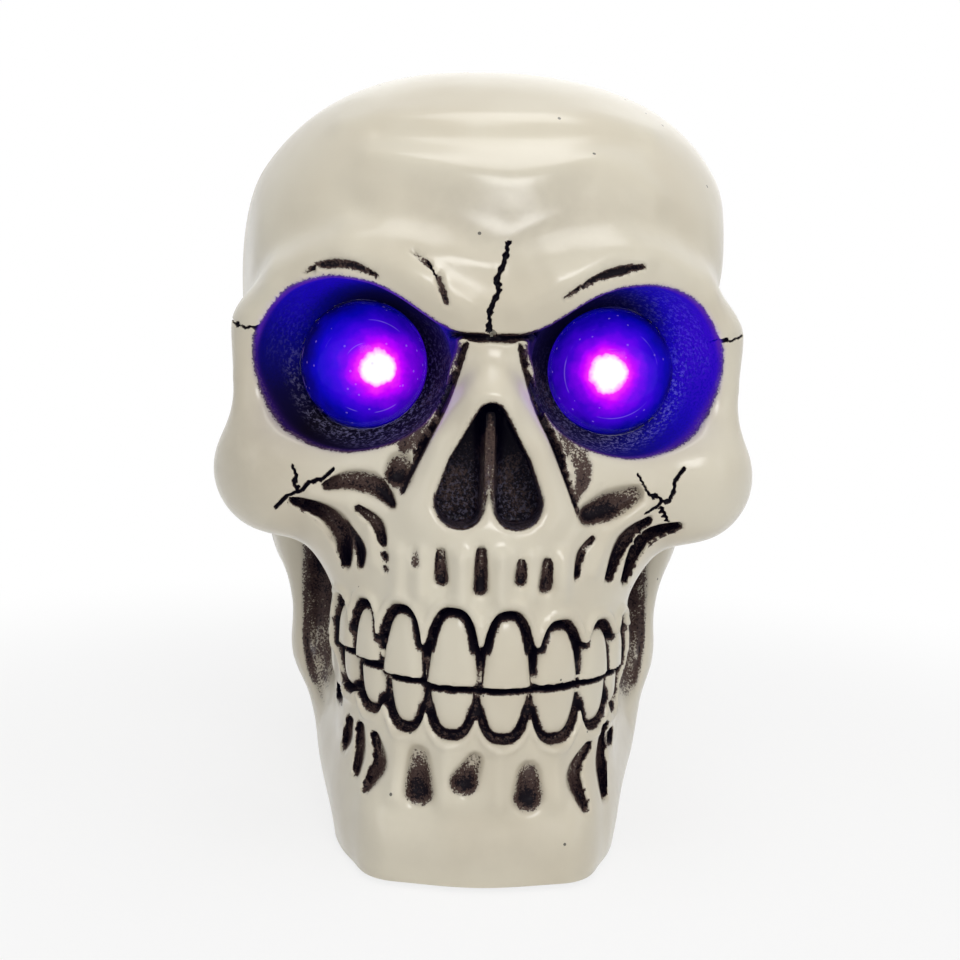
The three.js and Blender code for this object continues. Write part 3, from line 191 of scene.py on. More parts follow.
def socketHole(p):
    f = skullForm["socket"]
    p = (np.abs(p[0]), p[1], p[2])
    return join(ellipsoid(p, f["at"], f["radii"]), ridge(p, skullForm["socketCorner"]["path"]), f["blend"])


def noseHole(p):
    f = skullForm["nose"]
    flat = ridge((np.abs(p[0]), p[1] * 0, p[2]), f["path"])
    return np.maximum(flat, p[1] - f["back"])


def noseSeptum(p):
    f = skullForm["septum"]
    thin = np.abs(p[0]) - f["half"] - (p[1] - f["front"]) * f["flare"]
    tall = np.abs(p[2] - f["middle"]) - f["tall"]
    back = p[1] - skullForm["nose"]["back"] - f["behind"]
    return np.maximum.reduce((thin, f["front"] - p[1], tall, back))


def toothRow(p, grow):
    least = None
    for row, sign in (("upper", 1), ("lower", -1)):
        f = teethForm[row]
        a, b = f["radii"]
        for i, (gum, tip) in enumerate(zip(f["gums"], f["tips"])):
            first, last = (math.radians(v) for v in f["edges"][i:i + 2])
            turn = (first + last) / 2
            pace = math.hypot(a * math.cos(turn), b * math.sin(turn))
            out = Vector((math.sin(turn) / a, -math.cos(turn) / b)).normalized()
            at = (a * math.sin(turn), teethForm["archY"] - b * math.cos(turn))
            across = (p[0] - at[0]) * -out.y + (p[1] - at[1]) * out.x
            lower = np.clip(sign * (gum - p[2]) / abs(gum - tip), 0, 1)
            across = across / (1 - teethForm["gumNarrow" if grow else "narrow"] * (1 - lower))
            proud = (p[0] - at[0]) * out.x + (p[1] - at[1]) * out.y
            tall = abs(gum - tip) * teethForm["bulge"]
            deep = teethForm["pocketReach" if grow else "deep"]  # a pocket runs out through the gum
            radii = ((last - first) * pace / 2 - teethForm["gap"] + grow, deep, tall + grow)
            at = (0, 0 if grow else teethForm["proud"] - deep, gum - sign * tall)
            body = squareEllipsoid((across, proud, p[2]), at, radii, teethForm["power"])
            shape = np.maximum(body, sign * (tip - p[2]) - grow)
            least = shape if least is None else np.minimum(least, shape)
    return least


# What is carved into the face, seen from the front in millimetres. Pits: rows of x, z, radius, how deep they
# are, and how dark their wash is.
pits = {
    "cheekLeftUpper": {"path": ((-31, 76.3, 0.8), (-26.3, 77.7, 2), (-21.3, 76.8, 2.2), (-18, 73.4, 0.8)),
                       "depth": 2.4, "dark": 0.74},
    "cheekLeftRound": {"path": ((-16.8, 81, 2.6), (-17.2, 79.2, 2.7)), "depth": 2.2, "dark": 0.7},
    "cheekLeftOuter": {"path": ((-38, 73.1, 0.6), (-31.5, 71, 1.8), (-27.8, 67, 2.3), (-27, 60.7, 0.9)),
                       "depth": 3, "dark": 0.72},
    "cheekLeftMiddle": {"path": ((-27, 69.2, 0.5), (-24.2, 64.6, 1.1), (-24, 61, 0.6)),
                        "depth": 2, "dark": 1},
    "cheekLeftInner": {"path": ((-24.9, 72.6, 0.6), (-20.9, 69.7, 1.2), (-19.6, 65.9, 0.7)),
                       "depth": 2, "dark": 0.68},
    "dotLeftUpper": {"path": ((-19.3, 63.9, 0.8), (-19.2, 63.3, 0.8)), "depth": 1, "dark": 0.8},
    "dotLeftLower": {"path": ((-19.1, 61.4, 0.6), (-19, 60.9, 0.6)), "depth": 0.8, "dark": 0.75},
    "cheekRightOval": {"path": ((19.4, 72.4, 2.2), (23.7, 74.3, 3), (28.4, 76.2, 1.9)),
                       "depth": 2.6, "dark": 0.7},
    "cheekRightInner": {"path": ((20.3, 67.9, 0.5), (17.9, 65, 0.8), (17.1, 60.4, 0.5)),
                        "depth": 1.6, "dark": 0.74},
    "cheekRightMiddle": {"path": ((31.8, 71, 0.7), (26.9, 67, 1.5), (24.2, 59.4, 0.8)),
                         "depth": 2.6, "dark": 0.74},
    "cheekRightOuter": {"path": ((38.4, 69.7, 0.6), (31, 66.6, 1.6), (28, 58.3, 0.8)),
                        "depth": 3, "dark": 0.76},
    "rootSlotLeft": {"path": ((-8.6, 65.4, 1), (-8.5, 60.4, 1.4)), "depth": 1.6, "dark": 0.64},
    "rootSlotMiddle": {"path": ((-1.2, 66, 1), (-1.2, 59, 1.5)), "depth": 1.8, "dark": 0.7},
    "rootSlotRight": {"path": ((6.3, 63.8, 0.9), (6.2, 60.6, 1.3)), "depth": 1.4, "dark": 0.62},
    "rootSlotOuter": {"path": ((11.2, 63.8, 1), (10.9, 59.2, 1.4)), "depth": 1.6, "dark": 0.68},
    "rootSlotFaint": {"path": ((-13.6, 65.6, 0.7), (-13.4, 63, 0.9)), "depth": 0.7, "dark": 0.4},
    "chinLeft": {"path": ((-11.9, 25.4, 2.1), (-11.7, 18.8, 2.9)), "depth": 2.2, "dark": 0.6},
    "chinMiddle": {"path": ((-1.4, 25.4, 1.8), (-3.2, 21.4, 2.9)), "depth": 2.2, "dark": 0.6},
    "chinRight": {"path": ((9.1, 22.8, 2.4), (9.1, 18.2, 3.1)), "depth": 2.2, "dark": 0.6},
    "jawLeftInner": {"path": ((-20.6, 27.4, 0.8), (-19.4, 22.4, 1.4), (-22.3, 16.8, 0.7)),
                     "depth": 1.8, "dark": 0.6},
    "jawLeftMiddle": {"path": ((-23.6, 28.3, 0.7), (-23.6, 23.3, 1), (-24.4, 18.2, 0.6)),
                      "depth": 1.8, "dark": 0.62},
    "jawLeftOuter": {"path": ((-25.9, 28.4, 0.6), (-26.5, 24.2, 0.9), (-27.4, 21.1, 0.5)),
                     "depth": 1.6, "dark": 0.66},
    "jawLeftDot": {"path": ((-28.8, 32, 0.8), (-29, 29.5, 0.9)), "depth": 1.4, "dark": 0.6},
    "jawRightInner": {"path": ((21.3, 25.9, 0.8), (18.2, 21, 1.5), (20.6, 14.9, 0.8)),
                      "depth": 2, "dark": 0.62},
    "jawRightMiddle": {"path": ((25.1, 28.6, 0.7), (24.6, 21.9, 1.2), (25.5, 14.2, 0.7)),
                       "depth": 2, "dark": 0.6},
    "jawRightDot": {"path": ((26.9, 26, 0.8), (27, 23.6, 0.8)), "depth": 1.2, "dark": 0.8},
    "browLeft": {"path": ((-35.6, 116.7, 0.3), (-31, 118.2, 0.85), (-26, 117.9, 0.8), (-21.6, 116, 0.3)),
                 "depth": 0.9, "dark": 1},
    "browRight": {"path": ((12.4, 112.6, 0.3), (18, 116.4, 0.6), (23, 118.3, 0.95), (27.6, 119.3, 0.4)),
                  "depth": 1, "dark": 1},
    "chipUpper": {"path": ((-15.4, 120.7, 0.5), (-12, 118, 0.7)), "depth": 0.5, "dark": 0.45},
    "chipLower": {"path": ((-10.2, 115.6, 0.8), (-8.8, 111.4, 0.5)), "depth": 1, "dark": 0.8},
    "browGroove": {"path": ((-8.5, 106.2, 0.4), (-3.4, 105.4, 0.7), (4, 105.4, 0.7), (9, 106.6, 0.4)),
                   "depth": 1.6, "dark": 1},
    "noseSideLeft": {"path": ((-5, 104.2, 0.55), (-8.2, 94, 0.62), (-12.6, 84.5, 0.68), (-16.2, 76, 0.45)),
                     "depth": 1.1, "dark": 1},
    "noseSideRight": {"path": ((5, 104.2, 0.55), (8.2, 94, 0.62), (12.6, 84.5, 0.68), (17, 73, 0.45)),
                      "depth": 1.1, "dark": 1},
    "noseStainLeft": {"path": ((-8.4, 101, 1.4), (-12.4, 91, 2.4), (-16, 84.5, 1.6)),
                      "depth": 0.2, "dark": 0.4},
    "noseStainRight": {"path": ((8.4, 101, 1.4), (12.4, 91, 2.4), (18, 81.5, 2.2), (16.4, 75, 0.8)),
                       "depth": 0.2, "dark": 0.42},
}
pitWall = (1.35, 0.25)  # where a pit's wall starts and ends, as a share of its radius
pitBack = (-30, -22)  # pits fade out behind this, y mm
swells = {  # soft rises and dips, x, z path: how far they reach and how high
    "crestUpper": {"path": ((-30, 146.5), (-20.6, 148.3), (4.5, 148), (20.5, 149.1), (31, 147.5)),
                   "reach": 2.9, "height": 0.6},
    "crestLower": {"path": ((-24, 139.8), (-12.5, 137.2), (3, 135.8), (11, 137), (18.7, 139.8),
                            (24.7, 138.5), (31, 133.5)),
                   "reach": 3, "height": 0.8},
    "browCrestLeft": {"path": ((-28, 125.4), (-17.7, 123.1), (-10.2, 120.6), (-1, 118.8)),
                      "reach": 2.8, "height": 0.6},
    "browCrestRight": {"path": ((6, 118.8), (9, 119.6), (14.6, 122.2), (24, 124.2)),
                       "reach": 2.8, "height": 0.6},
    "browBulgeLeft": {"path": ((-47, 108.5), (-41, 116.8), (-31, 121.4), (-21, 119.2), (-12, 114), (-5, 110)),
                      "reach": 3.4, "height": 1.4},
    "browBulgeRight": {"path": ((47, 108.5), (41, 117.4), (31, 122), (21, 120.4), (12, 115), (5, 110.4)),
                       "reach": 3.4, "height": 1.4},
    "browDipLeft": {"path": ((-46, 117), (-38, 124.6), (-27, 129)), "reach": 3.6, "height": -0.7},
    "browDipRight": {"path": ((46, 117), (38, 125), (27, 129.4)), "reach": 3.6, "height": -0.7},
    "hollowUpper": {"path": ((-22, 143), (-3.2, 142), (12, 143.2), (28, 143.7)),
                    "reach": 2.4, "height": -0.5},
    "hollowLower": {"path": ((-16, 131), (-6, 128), (3, 125.5), (9, 127.5), (15, 131.5)),
                    "reach": 4.4, "height": -0.8},
    "templeDip": {"path": ((-30, 132.5), (-24, 129.5)), "reach": 3.6, "height": -0.5},
    "chinRise": {"path": ((-17, 8), (0, 6.5), (17, 7.5)), "reach": 5.5, "height": 1.3},
    "chinDip": {"path": ((-16, 14.6), (0, 13.6), (16, 14.4)), "reach": 3.4, "height": -0.7},
    "foldLeft": {"path": ((-34, 74.4), (-27, 73.4), (-22.4, 69.4), (-21.8, 62)), "reach": 1.4, "height": 0.8},
    "foldRight": {"path": ((31, 73.6), (24, 69), (20.8, 61)), "reach": 1.4, "height": 0.8},
    "foldInner": {"path": ((18, 70), (15.4, 66), (14.2, 60)), "reach": 1.5, "height": 0.6},
    "rootRiseLeft": {"path": ((-5, 65), (-4.6, 57)), "reach": 2, "height": 0.9},
    "rootRiseRight": {"path": ((2.6, 65), (2.8, 57)), "reach": 2, "height": 0.9},
    "rootRiseOuterLeft": {"path": ((-13, 61), (-12.6, 56.5)), "reach": 2.2, "height": 0.5},
    "rootRiseOuterRight": {"path": ((15, 62), (14.8, 55)), "reach": 2.2, "height": 0.5},
}
roots = {  # ridges between the pits
    "upper": {"x": (-17, -12.8, -5, 2.6, 8.6, 14.4), "z": (57.5, 64.5), "reach": 1.7, "height": 1.1},
    "lower": {"x": (-16.6, -7, 3.4, 14.8), "z": (17.5, 27), "reach": 2, "height": 1.1},
}
for row, f in roots.items():
    for x in f["x"]:
        upright = [(x, z) for z in f["z"]]
        swells[f"{row}Root{x}"] = {"path": upright, "reach": f["reach"], "height": f["height"]}
bosses = {  # round swellings at x, y, z
    "crownRight": {"at": (41, -6, 143), "reach": 20, "height": 2.4},
    "templeLeft": {"at": (-55, -8, 117), "reach": 19, "height": 3.4},
    "jawLeft": {"at": (-36, -6, 15), "reach": 12, "height": -1.6},
}
cracks = {
    "glabella": {"path": ((2.3, 123), (1.7, 119.4), (0.2, 115.9), (0.8, 114.1), (-0.8, 110.4),
                          (-0.9, 106.8), (0.3, 105.7)),
                 "wide": 0.4},
    "orbitLeft": {"path": ((-51.5, 107.9), (-48.6, 106.3), (-45.2, 106.2)), "wide": 0.27},
    "orbitRight": {"path": ((44.2, 106.2), (45.8, 106.4), (47, 106.1), (50.5, 107.4)), "wide": 0.27},
    "cheekLeft": {"path": ((-41.2, 71.3), (-38.8, 73.9), (-35.8, 75.2), (-34.4, 76.9), (-31.8, 77.6),
                           (-29.7, 79.6)),
                  "wide": 0.33},
    "cheekLeftBranch": {"path": ((-36.4, 75), (-37.3, 76.7), (-36.9, 78.1), (-37.7, 79.9)), "wide": 0.32},
    "cheekRight": {"path": ((29, 80), (31.1, 76.5), (34.3, 75), (35.6, 74.6), (36.3, 76.4), (36.7, 79),
                            (38.5, 81.4)),
                   "wide": 0.33},
    "cheekRightBranch": {"path": ((34.2, 74.9), (33.4, 73.8), (30.8, 72.4)), "wide": 0.28},
    "cheekRightTail": {"path": ((34, 73.4), (36, 70.3)), "wide": 0.3},
    "browTip": {"path": ((-12.4, 118.6), (-10.6, 116)), "wide": 0.25},
}
crackForm = {  # wander: how far, and its waves across and up
    "depth": 0.9, "edge": (1.25, 0.35), "back": -25, "finer": 1.1, "cuts": 3, "least": 0.02,
    "wander": ((0.16, 3.1, 1.7), (0.12, -2.2, 5.3)),
}


def eased(path, steps=4):  # the same path as a smooth curve
    points = np.array([path[0], *path, path[-1]], float)
    curve = []
    for a, b, c, d in zip(points, points[1:], points[2:], points[3:]):
        for t in np.arange(steps) / steps:
            bend = (2 * b + (c - a) * t + (2 * a - 5 * b + 4 * c - d) * t ** 2
                    + (3 * b - a - 3 * c + d) * t ** 3)
            curve.append(bend / 2)
    return curve + [points[-1]]


def strokeGap(x, z, path):  # gap to a path seen from the front, or the share of its radius
    least = None
    for a, b in zip(path, path[1:]):
        dx, dz = b[0] - a[0], b[1] - a[1]
        t = np.clip(((x - a[0]) * dx + (z - a[1]) * dz) / (dx * dx + dz * dz), 0, 1)
        gap = np.sqrt((x - a[0] - t * dx) ** 2 + (z - a[1] - t * dz) ** 2)
        if len(a) > 2:
            gap = gap / (a[2] + (b[2] - a[2]) * t)
        least = gap if least is None else np.minimum(least, gap)
    return least


for stroke in pits.values():
    stroke["path"] = eased(stroke["path"])


def pitMarks(x, z, low, high):  # each pit with the points it reaches, 1 in its middle
    for f in pits.values():
        path = np.array(f["path"])
        reach = path[:, 2].max() * low
        near = (x > path[:, 0].min() - reach) & (x < path[:, 0].max() + reach)
        near &= (z > path[:, 1].min() - reach) & (z < path[:, 1].max() + reach)
        rows = np.nonzero(near)[0]
        if len(rows):
            yield f, rows, smooth(low, high, strokeGap(x[rows], z[rows], f["path"]))


def carving(p):  # how far the surface sinks, in mm
    sink = np.zeros_like(p[0])
    rows = np.nonzero(p[1] < pitBack[1])[0]
    if len(rows):
        x, y, z = (v[rows] for v in p)
        deep = np.zeros_like(x)
        for f, near, share in pitMarks(x, z, *pitWall):
            deep[near] = np.maximum(deep[near], f["depth"] * share)
        for f in swells.values():
            deep = deep - f["height"] * np.exp(-(strokeGap(x, z, f["path"]) / f["reach"]) ** 2)
        sink[rows] = deep * (1 - smooth(*pitBack, y))
    for f in bosses.values():
        away = sum((p[i] - f["at"][i]) ** 2 for i in range(3)) / f["reach"] ** 2
        sink = sink - f["height"] * np.exp(-away)
    return sink


def crackMark(x, z):  # 1 in the middle of a crack, 0 off it
    mark = np.zeros_like(x)
    outer, inner = crackForm["edge"]
    wander = sum(far * np.sin(across * x + up * z) for far, across, up in crackForm["wander"])
    for f in cracks.values():
        gap = strokeGap(x + wander, z + wander, f["path"])
        mark = np.maximum(mark, smooth(f["wide"] * outer, f["wide"] * inner, gap))
    return mark


# Where the fine forms lie, in millimetres, so that they are worked out only there
fineZones = {
    "nose": {"back": -45, "half": 18, "low": 62, "high": 102},
    "teeth": {"back": -20, "low": 24, "high": 60, "depth": 12},
    "skin": 6,
}


def fineSkull(p):
    x, y, z = p
    d = bareSkull(p)
    zone = fineZones["nose"]
    within = (y < zone["back"]) & (np.abs(x) < zone["half"])
    rows = np.nonzero(within & (z > zone["low"]) & (z < zone["high"]))[0]
    if len(rows):
        spots = tuple(v[rows] for v in p)
        skin = carve(d[rows], noseHole(spots), skullForm["nose"]["blend"])
        d[rows] = join(skin, noseSeptum(spots), skullForm["septum"]["blend"])
    rows = np.nonzero(np.abs(d) < fineZones["skin"])[0]
    if len(rows):
        d[rows] += carving(tuple(v[rows] for v in p))
    zone = fineZones["teeth"]
    within = (y < zone["back"]) & (d > -zone["depth"])
    rows = np.nonzero(within & (z > zone["low"]) & (z < zone["high"]))[0]
    if len(rows):
        f = teethForm
        spots = tuple(v[rows] for v in p)
        radii = [r - f["pocketDepth"] for r in f["upper"]["radii"]]
        core = drum(spots, (0, f["archY"], 0), radii, f["coreHalf"], f["coreRound"])
        height = spots[2]
        band = np.maximum.reduce((f["bandLow"] - height, height - f["bandHigh"], spots[1] - f["bandBack"]))
        pocket, lip = toothRow(spots, f["pocket"]), f["gumEdge"]
        skin = d[rows] - lip["height"] * np.exp(-((pocket - lip["out"]) / lip["reach"]) ** 2)
        for hole in (band, pocket):
            skin = carve(skin, np.maximum(hole, -core), f["pocketBlend"])
        d[rows] = join(skin, toothRow(spots, 0), f["blend"])
    return d


netForm = {"slabs": 24, "workers": 4, "pinchRounds": 40, "pinchPush": 0.5}


def gridLines(start, *bands):  # each band: where it ends, step
    places = [start]
    for end, step in bands:
        count = max(1, round((end - places[-1]) / step))
        places += list(np.linspace(places[-1], end, count + 1)[1:])
    return np.array(places)


def sample(form, grid):  # field on the grid, in slabs side by side
    def fieldIn(rows):
        p = np.meshgrid(grid[0][rows], grid[1], grid[2], indexing="ij")
        return form(tuple(v.ravel() for v in p)).reshape(p[0].shape)

    slabs = np.array_split(np.arange(len(grid[0])), netForm["slabs"])
    with ThreadPoolExecutor(netForm["workers"]) as pool:
        return np.concatenate(list(pool.map(fieldIn, slabs)))


def closePinches(value):  # corners that touch only across a diagonal are joined
    for _ in range(netForm["pinchRounds"]):
        changed = False
        for a, b in ((0, 1), (1, 2), (0, 2)):
            def at(da, db):
                cut = [slice(None)] * 3
                cut[a] = slice(1, None) if da else slice(None, -1)
                cut[b] = slice(1, None) if db else slice(None, -1)
                return tuple(cut)
            p, q, r, s = (value[at(*c)] < 0 for c in ((0, 0), (1, 0), (0, 1), (1, 1)))
            bad = (p == s) & (q == r) & (p != q)
            for corner, where in (((1, 0), bad & p), ((0, 0), bad & ~p)):
                if where.any():
                    part = value[at(*corner)]
                    part[where] = -netForm["pinchPush"] * np.abs(part[where])
                    changed = True
        if not changed:
            return


def netsOf(form, grid):  # closed quads, one point in each cell that the surface crosses
    value = sample(form, grid)
    closePinches(value)
    inside = value < 0
    shape = tuple(n - 1 for n in value.shape)
    place = np.zeros(shape + (3,))
    hits = np.zeros(shape)
    near, far = slice(None, -1), slice(1, None)
    corners = np.stack(np.meshgrid(*grid, indexing="ij"), -1)
    for axis in range(3):
        others = [a for a in range(3) if a != axis]
        for u in (near, far):
            for v in (near, far):
                low, high = [None] * 3, [None] * 3
                low[axis], high[axis] = near, far
                low[others[0]] = high[others[0]] = u
                low[others[1]] = high[others[1]] = v
                low, high = tuple(low), tuple(high)
                cross = inside[low] != inside[high]
                share = np.zeros(shape)
                share[cross] = value[low][cross] / (value[low][cross] - value[high][cross])
                start, end = corners[low][cross], corners[high][cross]
                place[cross] += start + (end - start) * share[cross][:, None]
                hits += cross
    used = hits > 0
    index = np.full(shape, -1)
    index[used] = np.arange(used.sum())
    points = place[used] / hits[used][:, None]
    quads = []
    for a in range(3):
        b, c = (a + 1) % 3, (a + 2) % 3
        low, high = [slice(1, -1)] * 3, [slice(1, -1)] * 3
        low[a], high[a] = near, far
        first, second = inside[tuple(low)], inside[tuple(high)]

        def cells(db, dc):
            cut = [slice(None)] * 3
            cut[b] = near if db else far
            cut[c] = near if dc else far
            return index[tuple(cut)]
        quad = np.stack((cells(1, 1), cells(0, 1), cells(0, 0), cells(1, 0)), -1)
        quads += [quad[first & ~second], quad[~first & second][:, ::-1]]
    return points, np.concatenate(quads)


def fieldOf(form, points):
    return form(tuple(points[:, a].copy() for a in range(3)))


def slopeOf(form, points, step=0.08):
    ahead = []
    for a in range(3):
        move = np.zeros(3)
        move[a] = step
        ahead.append((fieldOf(form, points + move) - fieldOf(form, points - move)) / (2 * step))
    return np.stack(ahead, -1)


def settle(form, points, reach, rounds=2, ease=0.05):  # moves points onto the surface
    for _ in range(rounds):
        slope = slopeOf(form, points)
        move = (fieldOf(form, points) / (np.sum(slope ** 2, -1) + ease))[:, None] * slope
        length = np.linalg.norm(move, axis=-1, keepdims=True) + tiny
        points = points - move * np.minimum(1, reach / length)
    return points


# How the two shells are made, in millimetres. Eye: x, z. Seat: radius, front, back. Bore: rows of radius, y.
# Rebate and opening: half width, half depth, corner, low, high. Screw bore and post: radius, low, high.
# A grid has, for each axis, where it starts and then where each band ends and its step.
shellForm = {
    "wall": 3.6, "jawWall": 6.4, "floorTop": 6.2, "bottom": 1, "seam": 10, "seamGap": 0.3,
    "eye": (25.4, 99.6), "seat": (16.3, -36.9, -25.6),
    "bore": ((13.1, -57.9), (13.1, -31.3), (14.3, -31.3), (14.3, -23.9)),
    "rebate": (26.45, 43.3, 9.3, -3, 4.5), "opening": (20.15, 37, 3.3, 0, 7.2),
    "screws": (23.15, 23), "screwBore": (1.6, 0, 12.3), "post": (3.8, 5.2, 12.7),
    "faceGrid": ((-58, (-49, 1.4), (-32, 0.86), (32, 0.7), (49, 0.86), (58, 1.4)),
                 (-69, (-44, 0.66), (-20, 1.1), (12.4, 2.2)),
                 (-3, (27, 1), (57, 0.6), (121, 0.9), (167, 1.7))),
    "rearGrid": ((-59, (59, 1.9)), (7, (68, 1.9)), (-3, (167, 1.9))),
    "hollowGrid": ((-55, (55, 3)), (-60, (66, 3)), (3, (162, 3))),
    "past": 1.6, "skin": 1.2, "faceSettle": 0.22, "rearSettle": 0.5, "boreAround": 20, "postAround": 32,
    "clear": ((-90, -90, -20), (90, 90, 200)),  # a box well past the whole skull
}


def hollowForm(p):  # the large forms without their walls, clear of what is carved into them
    form, wall, jawWall = skullForm, shellForm["wall"], shellForm["jawWall"]
    p = (np.abs(p[0]), p[1], p[2])

    def less(name, by):
        return [r - by for r in form[name]["radii"]]

    d = squareEllipsoid(p, form["cranium"]["at"], less("cranium", wall), form["cranium"]["power"])
    neck = squareEllipsoid(p, form["neck"]["at"], less("neck", wall), form["neck"]["power"])
    d = join(d, neck, form["neck"]["blend"])
    for name, shorter in (("upperJaw", wall), ("lowerJaw", 0)):
        f = form[name]
        shape = drum(p, f["at"], less(name, jawWall), f["half"] - shorter, f["round"])
        d = join(d, shape, f["blend"])
    for name in ("templeHollow", "jawHollow", "archHollow", "socket"):
        d = carve(d, ellipsoid(p, form[name]["at"], form[name]["radii"]) - wall, wall)
    return np.maximum(carve(d, noseHole(p) - wall, wall), shellForm["floorTop"] - p[2])


def meshOf(name, points, faces):
    made = bpy.data.meshes.new(name)
    made.from_pydata((np.asarray(points) * mm).tolist(), [], [list(map(int, f)) for f in faces])
    made.update()
    return made


def pieceOf(name, data):
    piece = bpy.data.objects.new(name, data)
    bpy.context.scene.collection.objects.link(piece)
    return piece


def plainMesh(piece):  # modifiers become plain mesh
    bpy.context.view_layer.update()
    shown = piece.evaluated_get(bpy.context.evaluated_depsgraph_get())
    made = bpy.data.meshes.new_from_object(shown)
    made.name = piece.name
    piece.modifiers.clear()
    piece.data = made
    return piece


def shaded(piece, angle=40):
    piece.data.polygons.foreach_set("use_smooth", np.ones(len(piece.data.polygons), bool))
    piece.data.set_sharp_from_angle(angle=math.radians(angle))
    return piece


def cutAway(piece, tool):
    step = piece.modifiers.new("cut", "BOOLEAN")
    step.operation, step.solver, step.object = "DIFFERENCE", "MANIFOLD", tool
    plainMesh(piece)
    bpy.data.objects.remove(tool)
    return piece


def lathe(name, rings, at, axis="Z", around=64):  # rings: radius, place along the axis
    turns = np.linspace(0, 2 * math.pi, around, endpoint=False)
    points, faces = [], []
    for radius, along in rings:
        for t in turns:
            flat = (radius * math.cos(t), radius * math.sin(t))
            points.append((flat[0], flat[1], along) if axis == "Z" else (flat[0], along, -flat[1]))
    for ring in range(len(rings) - 1):
        for i in range(around):
            a, b = ring * around + i, ring * around + (i + 1) % around
            faces.append((a, b, b + around, a + around))
    faces += [tuple(range(around))[::-1], tuple(range((len(rings) - 1) * around, len(rings) * around))]
    return pieceOf(name, meshOf(name, np.array(points) + np.array(at), faces))


def roundPlate(name, halfX, halfY, corner, low, high, steps=8):
    flat = []
    for quarter, (sx, sy) in enumerate(((1, 1), (-1, 1), (-1, -1), (1, -1))):
        for i in range(steps + 1):
            t = math.pi / 2 * (quarter + i / steps)
            x = sx * (halfX - corner) + corner * math.cos(t)
            y = sy * (halfY - corner) + corner * math.sin(t)
            flat.append((x, y))
    count = len(flat)
    points = [(x, y, z) for z in (low, high) for x, y in flat]
    faces = [tuple(range(count))[::-1], tuple(range(count, 2 * count))]
    faces += [(i, (i + 1) % count, (i + 1) % count + count, i + count) for i in range(count)]
    return pieceOf(name, meshOf(name, points, faces))


def slab(name, low, high):
    ring = ((low[0], low[1]), (high[0], low[1]), (high[0], high[1]), (low[0], high[1]))
    corners = [(x, y, z) for z in (low[2], high[2]) for x, y in ring]
    faces = [(3, 2, 1, 0), (4, 5, 6, 7), (0, 1, 5, 4), (1, 2, 6, 5), (2, 3, 7, 6), (3, 0, 4, 7)]
    return pieceOf(name, meshOf(name, corners, faces))


def fourPlaces(x, y):
    return [(sx * x, sy * y) for sy in (-1, 1) for sx in (-1, 1)]


def eyeAt(side):  # -1 left, 1 right
    x, z = shellForm["eye"]
    return side * x, 0, z


def floorCuts(piece):
    f = shellForm
    for size in (f["rebate"], f["opening"]):
        cutAway(piece, roundPlate("cutter", *size))
    radius, low, high = f["screwBore"]
    for x, y in fourPlaces(*f["screws"]):
        cutAway(piece, lathe("cutter", ((radius, low), (radius, high)), (x, y, 0), around=f["boreAround"]))


def hollowCutter():
    f = shellForm
    grid = [gridLines(*places) for places in f["hollowGrid"]]
    cutter = pieceOf("hollow", meshOf("hollow", *netsOf(hollowForm, grid)))
    radius, low, high = f["post"]
    for x, y in fourPlaces(*f["screws"]):
        cutAway(cutter, lathe("post", ((radius, low), (radius, high)), (x, y, 0), around=f["postAround"]))
    radius, front, back = f["seat"]
    for side in (-1, 1):
        cutAway(cutter, lathe("seat", ((radius, front), (radius, back)), eyeAt(side), axis="Y"))
    return cutter


def halfSkin(name, front):
    f = shellForm
    grid = [gridLines(*places) for places in f["faceGrid" if front else "rearGrid"]]
    past = f["seam"] + (f["past"] if front else -f["past"])

    def form(p):
        beyond = p[1] - past if front else past - p[1]
        return np.maximum(fineSkull(p), np.maximum(beyond, -f["past"] - p[2]))

    points, quads = netsOf(form, grid)
    outer = np.abs(fieldOf(fineSkull, points)) < f["skin"]
    points[outer] = settle(fineSkull, points[outer], f["faceSettle" if front else "rearSettle"])
    print(name, "quads:", len(quads))
    return pieceOf(name, meshOf(name, points, quads))


def markCracks(piece):  # finer faces along the cracks, then pressed in
    data = bmesh.new()
    data.from_mesh(piece.data)

    def gapOf(points):
        gap = np.full(len(points), np.inf)
        for f in cracks.values():
            gap = np.minimum(gap, strokeGap(points[:, 0], points[:, 2], f["path"]))
        return np.where(points[:, 1] < crackForm["back"], gap, np.inf)

    centres = np.array([f.calc_center_median() for f in data.faces]) / mm
    near = gapOf(centres) < crackForm["finer"]
    edges = {e for f, n in zip(data.faces, near) if n for e in f.edges}
    bmesh.ops.subdivide_edges(data, edges=list(edges), cuts=crackForm["cuts"], use_grid_fill=True)
    data.normal_update()
    points = np.array([v.co for v in data.verts]) / mm
    mark = np.where(points[:, 1] < crackForm["back"], crackMark(points[:, 0], points[:, 2]), 0)
    data.verts.ensure_lookup_table()
    for i in np.nonzero(mark > crackForm["least"])[0]:
        vert = data.verts[i]
        vert.co -= vert.normal * float(mark[i]) * crackForm["depth"] * mm
    data.to_mesh(piece.data)
    data.free()


def pointsOf(data):
    flat = np.empty(len(data.vertices) * 3, np.float32)
    data.vertices.foreach_get("co", flat)
    return flat.reshape(-1, 3).astype(float) / mm


def setMarks(piece, marks):
    for name, values in marks.items():
        layer = piece.data.attributes.new(name, "FLOAT", "POINT")
        layer.data.foreach_set("value", np.asarray(values, np.float32))


